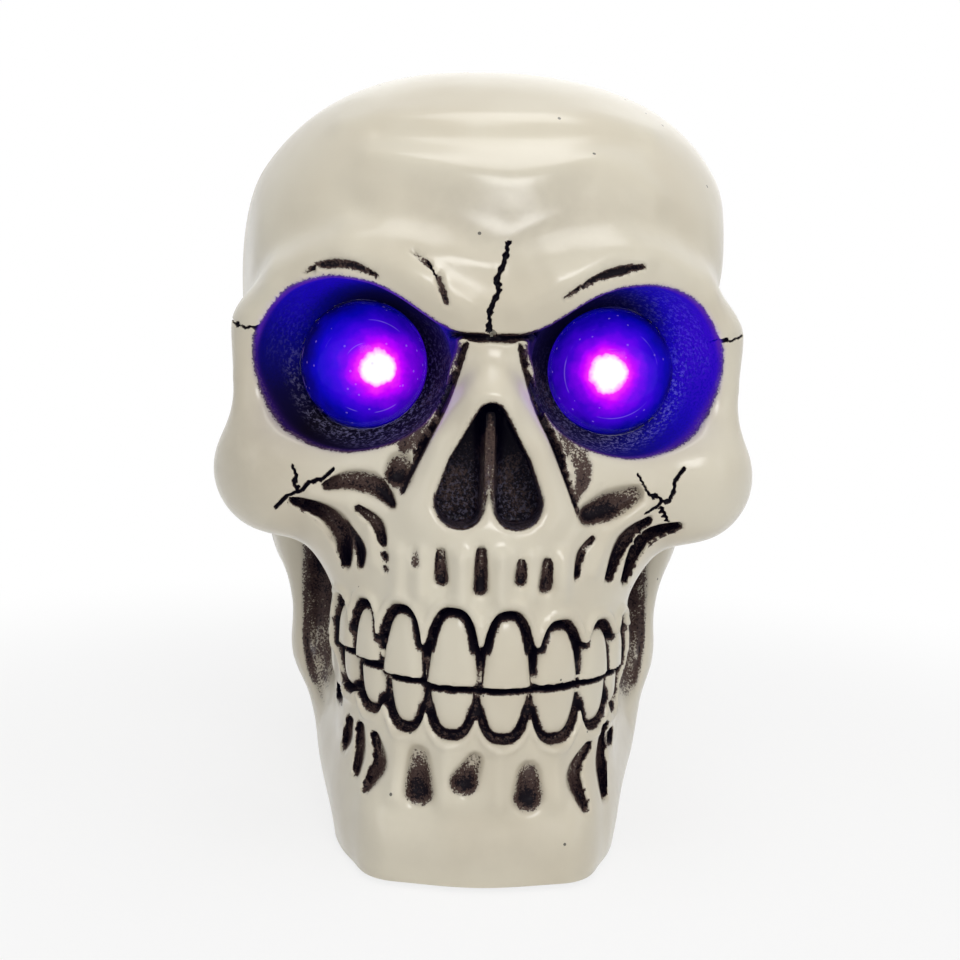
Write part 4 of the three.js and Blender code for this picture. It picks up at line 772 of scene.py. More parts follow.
# Where the dark wash and painted shade lie, where the eyes' light is painted on the sockets, and broad
# patches of painted shade at x, z. A pair of places is where something starts and where it is full, and a
# pair of shares is how strong it is there.
washForm = {
    # feelers and hidden: how closed in a point is, which darkens it as painted shade
    "feelers": ((0.7, 0.2), (1.5, 0.3), (3, 0.3), (6, 0.2)),  # how far off the surface, share
    "hidden": (0.14, 0.6), "spared": 0.5, "paintDepth": 1.6, "bareDepth": 1, "sharpAngle": 65,
    "pits": {"edge": (1.35, 0.4), "fall": 0.6, "soft": 2},
    "socket": {"edge": (1.4, -0.3), "share": 1.06, "skin": (-0.8, -0.3), "back": (-24, -30)},
    "nose": {"edge": (0.5, -0.1), "heights": (78, 88), "shares": (0.86, 1), "aside": (0.9, 2.2),
             "asideShares": (0.6, 1), "greySpeckle": 0.6, "greySpeckleHeights": (86, 74)},
    "mouth": {"low": 26, "high": 58, "back": -20, "tooth": (0.02, 0.3), "pocket": (0.15, -0.15),
              "depth": (0.1, 0.6), "shares": (0.5, 0.9)},
    # hollows: dark wash with painted shade, darker towards the top
    "hollows": {"heights": {"jawHollow": (34, 58), "archHollow": (78, 94)}, "edge": (3, -0.5),
                "shares": (0.6, 1), "dark": 0.94},
    # rim: a thin line of painted violet light along the socket rims
    "rim": {"wide": 0.5, "deep": 0.9, "more": 0.25, "back": (-30, -38)},
    # painted light of the eyes on the socket walls, left eye, right eye: base, more outward, more upward
    "lit": ((0.36, 0.0, 0.46), (0.5, 0.34, 0.12)), "litDepth": (19, 4),
    # grey speckle of painted light on the lower socket ledges: left eye, right eye: base, more outward, more
    # upward
    "greySpeckle": ((0.5, 0, -0.6), (0.6, 0.4, -0.45)), "greySpeckleDepth": (2.5, 6),
    # broad darker patches of painted shade: middle, reach across and up, strength
    "paintedShades": {"foreheadMiddle": {"at": (4, 128), "reach": (22, 8), "strength": 0.75},
               "foreheadRight": {"at": (13, 133), "reach": (8, 6), "strength": 0.4},
               "cheekLeft": {"at": (-44, 82), "reach": (9, 12), "strength": 0.5},
               "chin": {"at": (0, 9), "reach": (22, 6), "strength": 0.35}},
}


# how closed in each point is; the wash uses it as painted shade in closed-in places
def hiddenShare(points, normals):  # how closed in each point is
    hidden = np.zeros(len(points))
    for reach, share in washForm["feelers"]:
        gap = fieldOf(fineSkull, points + normals * reach)
        hidden += share * np.clip(1 - gap / reach, 0, 1)
    return hidden


def pitWash(x, z):  # darker towards the lower end of a pit
    form = washForm["pits"]
    wash = np.zeros_like(x)
    for f, near, share in pitMarks(x, z, *form["edge"]):
        heights = np.array(f["path"])[:, 1]
        lower = (heights.mean() - z[near]) / (np.ptp(heights) + form["soft"])
        wash[near] = np.maximum(wash[near], share * np.clip(f["dark"] + form["fall"] * lower, 0, 1))
    return wash


def socketWash(y, hole, sunk):
    f = washForm["socket"]
    wash = np.clip(f["share"] * smooth(*f["edge"], hole), 0, 1)
    return wash * smooth(*f["skin"], sunk) * smooth(*f["back"], y)


def noseWash(p):
    f = washForm["nose"]
    wash = smooth(*f["edge"], noseHole(p)) * fade(f["shares"], f["heights"], p[2])
    return wash * fade(f["asideShares"], f["aside"], np.abs(p[0]))


def toothWash(p):  # the grooves round the teeth, and how dark they are
    f = washForm["mouth"]
    groove, wash = np.zeros_like(p[0]), np.zeros_like(p[0])
    rows = np.nonzero((p[2] > f["low"]) & (p[2] < f["high"]) & (p[1] < f["back"]))[0]
    mouth = tuple(v[rows] for v in p)
    tooth, pocket = toothRow(mouth, 0), toothRow(mouth, teethForm["pocket"])
    groove[rows] = smooth(*f["tooth"], tooth) * smooth(*f["pocket"], pocket)
    wash[rows] = groove[rows] * fade(f["shares"], f["depth"], tooth)
    return groove, wash


# dark wash in the hollows, with painted shade making it darker towards the top, under the overhang
def hollowWashAndShade(p):  # behind the jaw and under the cheek arch, darker towards the top
    form = washForm["hollows"]
    side = (np.abs(p[0]), p[1], p[2])
    wash = np.zeros_like(p[0])
    for name, heights in form["heights"].items():
        hollow = ellipsoid(side, skullForm[name]["at"], skullForm[name]["radii"])
        dark = form["dark"] * smooth(*form["edge"], hollow) * fade(form["shares"], heights, p[2])
        wash = np.maximum(wash, dark)
    return wash


# broad darker patches of painted shade on the ivory
def paintedShadeOf(x, z):
    wash = np.zeros_like(x)
    for f in washForm["paintedShades"].values():
        off = ((x - f["at"][0]) / f["reach"][0]) ** 2 + ((z - f["at"][1]) / f["reach"][1]) ** 2
        wash = np.maximum(wash, f["strength"] * np.exp(-off))
    return wash


def aroundEyes(x, z, left, right):
    away = np.stack((np.abs(x) - shellForm["eye"][0], z - shellForm["eye"][1]))
    away = away / (np.linalg.norm(away, axis=0) + small)
    base, outward, upward = (np.where(x > 0, r, l) for r, l in zip(right, left))
    return np.clip(base + outward * away[0] + upward * away[1], 0, 1)


def paintMarks(piece):
    points = pointsOf(piece.data)
    normals = np.empty(len(points) * 3, np.float32)
    piece.data.vertex_normals.foreach_get("vector", normals)
    p = tuple(points[:, a] for a in range(3))
    x, y, z = p
    front = 1 - smooth(*pitBack, y)
    hole, sunk = socketHole(p), -wholeSkull(p)
    pit, socket, nose = pitWash(x, z) * front, socketWash(y, hole, sunk), noseWash(p)
    groove, tooth = toothWash(p)
    # the dark wash of the pits, grooves, sockets and nose, with painted shade where a point is closed in
    shade = smooth(*washForm["hidden"], hiddenShare(points, normals.reshape(-1, 3)))
    shade = shade * (1 - washForm["spared"] * np.maximum(groove, pit))
    wash = np.maximum.reduce((shade, pit, socket, nose, tooth, hollowWashAndShade(p)))
    # the eyes' light painted on the socket walls, stronger outward and upward as given for each eye
    lit = aroundEyes(x, z, *washForm["lit"])
    paintedEyeLight = socket * lit * smooth(*washForm["litDepth"], sunk)
    # a thin line of painted violet light along the socket rims, strongest where the eyes' painted light is
    f = washForm["rim"]
    rim = np.exp(-(hole / f["wide"]) ** 2 - (sunk / f["deep"]) ** 2)
    rim = rim * np.clip(lit + f["more"], 0, 1) * smooth(*f["back"], y)
    # grey speckle of painted light on the lower socket ledges, and lighter grey speckle towards the bottom of
    # the nose hole
    greySpeckle = socket * smooth(*washForm["greySpeckleDepth"], sunk) * aroundEyes(x, z, *washForm["greySpeckle"])
    f = washForm["nose"]
    greySpeckle = np.maximum(greySpeckle, nose * smooth(*f["greySpeckleHeights"], z) * f["greySpeckle"])
    crack = np.where(y < crackForm["back"], crackMark(x, z), 0)
    # the marks on the shell: the wash is dark wash with painted shade, the eyes' light and the rim line are
    # painted light, the grey speckle is partly painted light, and the broad patches are painted shade
    marks = {"wash": wash, "crack": crack, "paintedEyeLight": paintedEyeLight, "rim": rim, "greySpeckle": greySpeckle,
             "paintedShade": paintedShadeOf(x, z) * front}
    inside = fieldOf(fineSkull, points) < -washForm["paintDepth"]
    setMarks(piece, {name: np.where(inside, 0, v) for name, v in marks.items()})


def markInside(piece):  # walls that the paint doesn't reach take the second material
    centres = np.empty(len(piece.data.polygons) * 3, np.float32)
    piece.data.polygons.foreach_get("center", centres)
    depth = fieldOf(fineSkull, centres.reshape(-1, 3).astype(float) / mm)
    bare = depth < -washForm["bareDepth"]
    piece.data.polygons.foreach_set("material_index", bare.astype(np.int32))
    shaded(piece, washForm["sharpAngle"])


def newFinish(name):
    made = bpy.data.materials.new(name)
    made.use_nodes = True
    return made, made.node_tree, made.node_tree.nodes["Principled BSDF"]


def feed(tree, node, values):  # links what another node gives, sets what is a plain value
    for key, value in values.items():
        if isinstance(value, bpy.types.NodeSocket):
            tree.links.new(value, node.inputs[key])
        else:
            node.inputs[key].default_value = value


def addNode(tree, kind, inputs=None, **settings):
    node = tree.nodes.new(kind)
    for key, value in settings.items():
        setattr(node, key, value)
    feed(tree, node, inputs or {})
    return node


def placeOn(tree):  # where a point lies on the piece, metres
    return addNode(tree, "ShaderNodeTexCoord").outputs["Object"]


def grain(tree, scale, detail=2.0, rough=0.5, vector=None):
    inputs = {"Vector": vector or placeOn(tree), "Scale": scale, "Detail": detail, "Roughness": rough}
    return addNode(tree, "ShaderNodeTexNoise", inputs).outputs["Fac"]


def sums(tree, operation, *values):
    return addNode(tree, "ShaderNodeMath", dict(enumerate(values)), operation=operation).outputs[0]


def lengthOf(tree, vector):
    return addNode(tree, "ShaderNodeVectorMath", {0: vector}, operation="LENGTH").outputs["Value"]


def specks(tree, scale, size):
    node = addNode(tree, "ShaderNodeTexVoronoi", {"Vector": placeOn(tree), "Scale": scale})
    return sums(tree, "LESS_THAN", node.outputs["Distance"], size)


def between(tree, value, low, high, toLow=0.0, toHigh=1.0):
    node = addNode(tree, "ShaderNodeMapRange", {0: value, 1: low, 2: high, 3: toLow, 4: toHigh},
                   interpolation_type="SMOOTHSTEP")
    return node.outputs[0]


def blendColours(tree, factor, first, second):
    node = addNode(tree, "ShaderNodeMix", {0: factor, 6: first, 7: second}, data_type="RGBA")
    return node.outputs[2]


def colourRamp(tree, value, stops):
    node = addNode(tree, "ShaderNodeValToRGB", {0: value})
    marks = node.color_ramp.elements
    while len(marks) < len(stops):
        marks.new(0.5)
    for mark, (place, colour) in zip(marks, stops):
        mark.position, mark.color = place, (*colour, 1)
    return node.outputs[0]


def mark(tree, name):
    return addNode(tree, "ShaderNodeAttribute", attribute_name=name).outputs["Fac"]


def bumpy(tree, shader, height, strength, distance):
    node = addNode(tree, "ShaderNodeBump", {"Height": height, "Strength": strength, "Distance": distance})
    tree.links.new(node.outputs[0], shader.inputs["Normal"])


# Paint colours. Grains: scale, detail, roughness. A name with At: where a value starts and where it is full,
# and what it becomes there.
paint = {
    # the darker ivory here is the colour of the broad patches of painted shade
    "ivory": (0.76, 0.705, 0.57, 1), "ivoryWarm": (0.7, 0.635, 0.5, 1), "paintedShade": (0.47, 0.42, 0.33, 1),
    "glaze": (0.075, 0.047, 0.038, 1), "umber": (0.006, 0.004, 0.005, 1), "crack": (0.004, 0.003, 0.004, 1),
    # rim: the colour of the painted violet light along the socket rims
    "fleck": (0.19, 0.175, 0.25, 1), "rim": (0.085, 0.015, 0.36, 1),
    # emission colours of the eyes' light painted on the socket walls, from faint to full
    "paintedEyeLight": ((0, (0, 0, 0.002)), (0.2, (0.0006, 0.0006, 0.03)), (0.45, (0.001, 0.001, 0.15)),
             (0.7, (0.008, 0.001, 0.42)), (1, (0.06, 0.004, 0.66))),
    "grains": {"broad": (38, ), "cloud": (240, 3), "stipple": (2100, 2, 0.75), "fleck": (1300, 3, 0.75),
               "relief": (700, 2)},
    "warmAt": (0.35, 0.7), "paintedShadeAt": (0.25, 0.7, 0.7, 1), "raggedAt": (0.02, 0.35), "thinAt": (0.02, 0.5),
    "brownAt": (0.3, 0.48), "darkAt": (0.62, 0.86), "fullAt": (0.85, 0.99), "fleckAt": (0.5, 0.6),
    "crackAt": (0.15, 0.6), "roughAt": (0.2, 1.1, 0.36, 0.6), "paintedEyeLightAt": (0.2, 0.6, 0.7, 1),
    "glossAt": (0.1, 0.7, 0.8, 0.04),  # the lacquer lies on the ivory, the wash is dull
    "glossRough": 0.22, "shine": 0.06, "thin": 0.3, "darkRough": 0.35,
    "uneven": {"stipple": 1.1, "cloud": 0.7}, "relief": {"fine": 0.3, "cloud": 0.7},
    "specks": (130.0, 0.045), "speckShare": 0.8, "bump": (0.1, 0.0004),
}


def paintedFinish():
    made, tree, shader = newFinish("paintedIvory")
    broad, cloud, stipple = (grain(tree, *paint["grains"][name]) for name in ("broad", "cloud", "stipple"))

    def offMiddle(value, size):  # noise spread evenly about zero
        return sums(tree, "MULTIPLY_ADD", value, size, -size / 2)

    ivory = blendColours(tree, between(tree, broad, *paint["warmAt"]), paint["ivory"], paint["ivoryWarm"])
    # broad darker patches of painted shade, broken up by cloud noise
    paintedShade = sums(tree, "MULTIPLY", mark(tree, "paintedShade"), between(tree, cloud, *paint["paintedShadeAt"]))
    ivory = blendColours(tree, paintedShade, ivory, paint["paintedShade"])
    speck = specks(tree, *paint["specks"])
    # the wash mark: dark wash paint, with painted shade in closed-in places and in the hollows
    wash = mark(tree, "wash")
    f = paint["uneven"]
    uneven = sums(tree, "ADD", offMiddle(stipple, f["stipple"]), offMiddle(cloud, f["cloud"]))
    ragged = sums(tree, "MULTIPLY_ADD", uneven, between(tree, wash, *paint["raggedAt"]), wash)
    thin = sums(tree, "MULTIPLY", between(tree, wash, *paint["thinAt"]), paint["thin"])
    brown = between(tree, ragged, *paint["brownAt"])
    dark = between(tree, ragged, *paint["darkAt"])
    colour = blendColours(tree, thin, ivory, paint["glaze"])
    colour = blendColours(tree, brown, colour, paint["glaze"])
    colour = blendColours(tree, dark, colour, paint["umber"])
    colour = blendColours(tree, between(tree, wash, *paint["fullAt"]), colour, paint["umber"])
    # grey speckle: painted light on the lower socket ledges, and lighter speckle low in the nose hole
    fleck = between(tree, grain(tree, *paint["grains"]["fleck"]), *paint["fleckAt"])
    colour = blendColours(tree, sums(tree, "MULTIPLY", fleck, mark(tree, "greySpeckle")), colour, paint["fleck"])
    colour = blendColours(tree, sums(tree, "MULTIPLY", speck, paint["speckShare"]), colour, paint["umber"])
    colour = blendColours(tree, between(tree, mark(tree, "crack"), *paint["crackAt"]), colour, paint["crack"])
    duller = sums(tree, "MULTIPLY_ADD", dark, paint["darkRough"], cloud)
    # the eyes' light painted on the socket walls, broken up by stipple, given off as emission
    lit = sums(tree, "MULTIPLY", mark(tree, "paintedEyeLight"), between(tree, stipple, *paint["paintedEyeLightAt"]))
    light = colourRamp(tree, lit, paint["paintedEyeLight"])
    # the painted violet light along the socket rims
    light = blendColours(tree, mark(tree, "rim"), light, paint["rim"])
    feed(tree, shader, {"Base Color": colour, "Roughness": between(tree, duller, *paint["roughAt"]),
                        "Emission Color": light, "Emission Strength": 1,
                        "Coat Weight": between(tree, wash, *paint["glossAt"]),
                        "Coat Roughness": paint["glossRough"], "Specular IOR Level": paint["shine"]})
    fine = sums(tree, "MULTIPLY", grain(tree, *paint["grains"]["relief"]), paint["relief"]["fine"])
    height = sums(tree, "ADD", fine, sums(tree, "MULTIPLY", cloud, paint["relief"]["cloud"]))
    bumpy(tree, shader, height, *paint["bump"])
    return made


plainGrain = {"fine": (3, 0.6), "broad": (2, 0.5), "coarser": 9, "toneAt": (0.3, 0.7), "glossAt": (0.2, 0.8),
              "relief": 0.0002}


# A finish of two tones with uneven gloss and fine relief
def plainFinish(name, colour, second, scale, rough, bump, metallic=0.0, stretch=(1, 1, 1)):
    made, tree, shader = newFinish(name)
    f = plainGrain
    turned = addNode(tree, "ShaderNodeMapping", {"Vector": placeOn(tree), "Scale": stretch}).outputs[0]
    fine = grain(tree, scale, *f["fine"], turned)
    broad = grain(tree, scale / f["coarser"], *f["broad"], turned)
    tone = blendColours(tree, between(tree, broad, *f["toneAt"]), (*colour, 1), (*second, 1))
    gloss = between(tree, fine, *f["glossAt"], *rough)
    feed(tree, shader, {"Base Color": tone, "Roughness": gloss, "Metallic": metallic})
    bumpy(tree, shader, fine, bump, f["relief"])
    return made


# Eye lens: a blue body about the middle of the dome and the lamp's halo about its hot spot, sizes in mm.
# Grains: scale, detail, roughness.
lens = {
    "left": {"middle": (-23.8, 99.3), "hot": (-21.8, 99)},
    "right": {"middle": (24.4, 99.4), "hot": (23.5, 99)},
    "body": ((0, (0.004, 0, 0.8)), (6.5, (0.004, 0, 0.74)), (9, (0.003, 0.0004, 0.58)),
             (11.2, (0.0018, 0.0006, 0.34)), (13.5, (0.0006, 0.0004, 0.05))),
    "halo": ((0, (1, 1, 1)), (2.7, (1, 1, 1)), (3.2, (1, 0.62, 0.85)), (3.8, (0.95, 0.02, 0.6)),
             (5, (0.55, 0, 0.36)), (6.6, (0.18, 0, 0.1)), (8.4, (0.05, 0, 0.02)), (10.5, (0.012, 0, 0)),
             (12, (0, 0, 0))),
    "tints": ((0.004, 0.003, 0.05, 1), (0.008, 0.004, 0.09, 1)), "grain": (300, 2),
    "ripple": {"grain": (190, 3, 0.6), "reach": 2.1},
    # lines: painted highlight arcs in rings on the lens, broken up
    "lines": {"apart": 2.3, "half": 0.16, "grain": (130, 2), "brokenAt": (0.54, 0.64)},
    "specks": (420.0, 0.1), "paintedGlint": (0.55, 0.3, 0.95, 1), "paintedGlintShare": 0.22,
    "rough": 0.12, "shine": 0.03, "bump": (0.05, 0.0003),
}


def lensFinish(side):
    made, tree, shader = newFinish("eyeLens" + side.capitalize())
    f = lens["ripple"]
    ripple = sums(tree, "MULTIPLY_ADD", grain(tree, *f["grain"]), 2 * f["reach"] * mm, -f["reach"] * mm)

    def glowAbout(centre, stops):
        shift = (-centre[0] * mm, 0, -centre[1] * mm)
        moved = addNode(tree, "ShaderNodeMapping", {"Vector": placeOn(tree), "Location": shift}).outputs[0]
        flat = addNode(tree, "ShaderNodeVectorMath", {0: moved, 1: (1, 0, 1)}, operation="MULTIPLY")
        away = lengthOf(tree, flat.outputs[0])
        end = stops[-1][0]
        share = sums(tree, "DIVIDE", sums(tree, "ADD", away, ripple), end * mm)
        return away, colourRamp(tree, share, [(r / end, colour) for r, colour in stops])

    away, body = glowAbout(lens[side]["middle"], lens["body"])
    halo = glowAbout(lens[side]["hot"], lens["halo"])[1]
    both = {0: 1.0, 6: body, 7: halo}
    light = addNode(tree, "ShaderNodeMix", both, data_type="RGBA", blend_type="ADD").outputs[2]
    f = lens["lines"]  # painted highlight arcs in rings, broken up, with small bright specks
    ring = between(tree, sums(tree, "PINGPONG", away, f["apart"] * mm), f["half"] * mm, 0.0)
    line = sums(tree, "MULTIPLY", ring, between(tree, grain(tree, *f["grain"]), *f["brokenAt"]))
    line = sums(tree, "MAXIMUM", line, specks(tree, *lens["specks"]))
    line = sums(tree, "MULTIPLY", line, lens["paintedGlintShare"])
    light = blendColours(tree, line, light, lens["paintedGlint"])
    tint = blendColours(tree, grain(tree, *lens["grain"]), *lens["tints"])
    feed(tree, shader, {"Emission Color": light, "Emission Strength": 1, "Base Color": tint,
                        "Roughness": lens["rough"], "Specular IOR Level": lens["shine"]})
    bumpy(tree, shader, grain(tree, *lens["grain"]), *lens["bump"])
    return made


finishes = {
    "painted": paintedFinish(),
    "bare": plainFinish("bareIvory", (0.62, 0.59, 0.5), (0.56, 0.53, 0.44), 900, (0.42, 0.58), 0.1),
    "lensLeft": lensFinish("left"),
    "lensRight": lensFinish("right"),
    "black": plainFinish("blackPlastic", (0.014, 0.014, 0.016), (0.02, 0.02, 0.022), 2600, (0.38, 0.6), 0.35),
    "rubber": plainFinish("footRubber", (0.022, 0.022, 0.023), (0.03, 0.03, 0.03), 1500, (0.7, 0.9), 0.3),
    "steel": plainFinish("zincSteel", (0.52, 0.52, 0.54), (0.44, 0.45, 0.48), 1800, (0.22, 0.4), 0.08,
                         metallic=1.0, stretch=(1, 1, 0.15)),
    "board": plainFinish("boardGreen", (0.022, 0.1, 0.05), (0.035, 0.14, 0.07), 500, (0.3, 0.45), 0.06),
    "lamp": plainFinish("lampResin", (0.78, 0.74, 0.98), (0.84, 0.8, 1), 700, (0.06, 0.14), 0.03),
    "jacket": plainFinish("cableJacket", (0.42, 0.02, 0.024), (0.5, 0.03, 0.03), 1200, (0.35, 0.5), 0.1),
    "wrap": plainFinish("cellWrap", (0.15, 0.16, 0.18), (0.19, 0.2, 0.22), 1400, (0.22, 0.34), 0.05),
    "chip": plainFinish("chipResin", (0.014, 0.014, 0.015), (0.02, 0.02, 0.02), 2400, (0.5, 0.68), 0.25),
}
print("finishes made:", len(finishes))


def standFor(piece, body, slotName, *nodeNames):
    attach(piece, body)
    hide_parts(*nodeNames)
    return piece


def makeShells():
    f = shellForm
    hollow = hollowCutter()
    low, high = f["clear"]
    near, far = f["seam"] - f["seamGap"] / 2, f["seam"] + f["seamGap"] / 2
    for name, node, front in (("faceShell", "face_shell", True), ("craniumShell", "cranium_shell", False)):
        piece = halfSkin(name, front)
        if front:
            markCracks(piece)
        start, end = (near, high[1]) if front else (low[1], far)
        cutAway(piece, slab("beyond", (low[0], start, low[2]), (high[0], end, high[2])))
        cutAway(piece, slab("below", low, (high[0], high[1], f["bottom"])))
        cutAway(piece, pieceOf("space", hollow.data.copy()))
        floorCuts(piece)
        if front:
            for side in (-1, 1):
                cutAway(piece, lathe("bore", f["bore"], eyeAt(side), axis="Y"))
        piece.data.materials.clear()
        piece.data.materials.append(finishes["painted"])
        piece.data.materials.append(finishes["bare"])
        markInside(piece)
        paintMarks(piece)
        standFor(piece, "skull", "painted_shell", node)
        triangles = sum(len(p.vertices) - 2 for p in piece.data.polygons)
        print(name, "faces:", len(piece.data.polygons), "triangles:", triangles)
    bpy.data.objects.remove(hollow)


makeShells()

dome = {"radius": 12.8, "wall": 1.6, "centre": -36, "skirt": -31, "flange": 14, "back": -29.4, "steps": 24,
        "pole": 0.001, "merge": 0.01}


def makeDome(side, sign):
    f = dome
    inner = f["radius"] - f["wall"]
    turns = [math.pi / 2 * i / f["steps"] for i in range(f["steps"] + 1)]

    def bow(radius):  # from the tip to the widest ring
        return [(radius * math.sin(t) + f["pole"], f["centre"] - radius * math.cos(t)) for t in turns]

    outline = bow(f["radius"])
    outline += [(f["radius"], f["skirt"]), (f["flange"], f["skirt"])]
    outline += [(f["flange"], f["back"]), (inner, f["back"])]
    outline += bow(inner)[::-1]
    piece = lathe("eyeDome" + side.capitalize(), outline, eyeAt(sign), axis="Y")
    data = bmesh.new()
    data.from_mesh(piece.data)
    bmesh.ops.remove_doubles(data, verts=data.verts, dist=f["merge"] * mm)
    bmesh.ops.recalc_face_normals(data, faces=data.faces)
    data.to_mesh(piece.data)
    data.free()
    shaded(piece)
    piece.data.materials.append(finishes["lens" + side.capitalize()])
    return standFor(piece, "skull", "eye_lens", "eye_dome_" + side)


for side, sign in (("left", -1), ("right", 1)):
    makeDome(side, sign)
print("eye domes made")


def newTree(name, inputs):  # Geometry Nodes tree with named inputs
    tree = bpy.data.node_groups.new(name, "GeometryNodeTree")
    tree.interface.new_socket("Shape", in_out="INPUT", socket_type="NodeSocketGeometry")
    for label, kind in inputs.items():
        tree.interface.new_socket(label, in_out="INPUT", socket_type="NodeSocket" + kind)
    tree.interface.new_socket("Result", in_out="OUTPUT", socket_type="NodeSocketGeometry")
    return tree, tree.nodes.new("NodeGroupInput").outputs, tree.nodes.new("NodeGroupOutput").inputs


def closeTree(tree, result, shape):
    real = addNode(tree, "GeometryNodeRealizeInstances", {"Geometry": shape}).outputs[0]
    dressed = addNode(tree, "GeometryNodeSetMaterial", {"Geometry": real}).outputs[0]
    tree.links.new(dressed, result["Result"])


def runTree(piece, tree, values, finish):  # the tree's result becomes plain mesh
    for node in tree.nodes:
        if node.bl_idname == "GeometryNodeSetMaterial":
            node.inputs["Material"].default_value = finish
    step = piece.modifiers.new("tree", "NODES")
    step.node_group = tree
    for item in tree.interface.items_tree:
        if item.in_out == "INPUT" and item.name in values:
            step[item.identifier] = values[item.name]
    return plainMesh(piece)


def copiesAt(tree, points, shape):
    return addNode(tree, "GeometryNodeInstanceOnPoints", {"Points": points, "Instance": shape}).outputs[0]


def tubeAlong(tree, path, ring):
    inputs = {"Curve": path, "Profile Curve": ring, "Fill Caps": True}
    return addNode(tree, "GeometryNodeCurveToMesh", inputs).outputs[0]


def rowsTree():  # sets a shape out in rows
    sizes = {"Across Count": "Int", "Across Pitch": "Float", "Along Count": "Int", "Along Pitch": "Float"}
    tree, given, result = newTree("rows", {**sizes, "Start": "Vector"})
    aside = addNode(tree, "ShaderNodeCombineXYZ", {"X": given["Across Pitch"]}).outputs[0]
    onward = addNode(tree, "ShaderNodeCombineXYZ", {"Y": given["Along Pitch"]}).outputs[0]
    line = addNode(tree, "GeometryNodeMeshLine", {"Count": given["Across Count"], "Offset": aside,
                                                  "Start Location": given["Start"]}).outputs[0]
    column = addNode(tree, "GeometryNodeMeshLine", {"Count": given["Along Count"], "Offset": onward})
    grid = copiesAt(tree, line, column.outputs[0])
    places = addNode(tree, "GeometryNodeRealizeInstances", {"Geometry": grid}).outputs[0]
    closeTree(tree, result, copiesAt(tree, places, given["Shape"]))
    return tree


def setOut(shape, tree, across, along, start, finish):  # across and along: how many, how far apart in mm
    values = {"Across Count": across[0], "Across Pitch": across[1] * mm,
              "Along Count": along[0], "Along Pitch": along[1] * mm,
              "Start": tuple(v * mm for v in start)}
    return runTree(shape, tree, values, finish)


# Screws: head and shank radius, length, cross slot (arm, width, depth), thread pitch, where they stand
screws = {
    "baseScrews": {"head": 2.4, "shank": 1.3, "length": 11, "slot": (1.45, 0.5, 0.8), "pitch": 0.9,
                   "across": (2, 46.3), "along": (2, 46), "start": (-23.15, -23, 1.3), "body": "skull",
                   "nodes": ("base_screw_1", "base_screw_2", "base_screw_3", "base_screw_4")},
    "doorScrew": {"head": 2.2, "shank": 1.1, "length": 6, "slot": (1.3, 0.46, 0.7), "pitch": 0.8,
                  "across": (1, 1), "along": (1, 1), "start": (0, 26, 1.2), "body": "door",
                  "nodes": ("door_screw", )},
    "boardScrews": {"head": 1.8, "shank": 0.8, "length": 5, "slot": (1.05, 0.36, 0.6), "pitch": 0.6,
                    "pan": 1.2, "across": (2, 25), "along": (1, 1), "start": (-12.5, 33.5, 10.8),
                    "body": "skull", "nodes": ("board_screw_1", "board_screw_2")},
}
screwEdges = {  # a tip: share of the shank, length; the pan's top: shares of its radius and height
    "root": 0.86, "fall": 0.3, "rim": 0.3, "soft": 0.1, "inset": 0.2, "tip": (0.4, 0.4),
    "panTip": (0.6, 0.2), "panTop": ((1, 0.5), (0.86, 0.85), (0.6, 1)), "slotOver": 1, "around": 28,
}


def screwShape(name, f):
    head, shank, pan, edges = f["head"], f["shank"], f.get("pan", 0), screwEdges
    arm, wide, deep = f["slot"]
    root, soft = shank * edges["root"], edges["soft"]
    low = -f["length"] if pan else edges["rim"] + head - shank
    high = 0 if pan else f["length"]
    thread = []
    for i in range(1, int((high - low) / f["pitch"])):
        z = low + i * f["pitch"]
        thread += [(root, z - f["pitch"] * edges["fall"]), (shank, z)]
    if pan:
        thin, tip = edges["panTip"]
        rings = [(shank * thin, low), (root, low + tip), *thread, (root, soft), (head, soft)]
        rings += [(head * across, pan * tall) for across, tall in edges["panTop"]]
    else:
        thin, tip = edges["tip"]
        rings = [(head - edges["inset"], 0), (head, soft), (head, edges["rim"]), (shank, low)]
        rings += [*thread, (root, high - tip), (shank * thin, high)]
    piece = lathe(name, rings, (0, 0, 0), around=edges["around"])
    bottom, top = (pan - deep, pan + edges["slotOver"]) if pan else (-edges["slotOver"], deep)
    for x, y in ((arm, wide / 2), (wide / 2, arm)):
        cutAway(piece, slab("slot", (-x, -y, bottom), (x, y, top)))
    return shaded(piece)


rows = rowsTree()
for name, f in screws.items():
    piece = setOut(screwShape(name, f), rows, f["across"], f["along"], f["start"], finishes["steel"])
    standFor(piece, f["body"], "steel", *f["nodes"])
feet = {"rings": ((1.1, 0), (1.3, 0.3), (1.9, 0.3), (2.1, 0), (3.1, 0), (3.45, 0.14), (3.6, 0.5), (3.6, 2),
                  (3.4, 2.2)),
        "across": (2, 41.5), "along": (2, 75.2), "start": (-20.75, -37.6, 0), "around": 48, "sharpAngle": 30}
piece = shaded(lathe("feet", feet["rings"], (0, 0, 0), around=feet["around"]), feet["sharpAngle"])
setOut(piece, rows, feet["across"], feet["along"], feet["start"], finishes["rubber"])
standFor(piece, "skull", "foot_rubber", "foot_1", "foot_2", "foot_3", "foot_4")
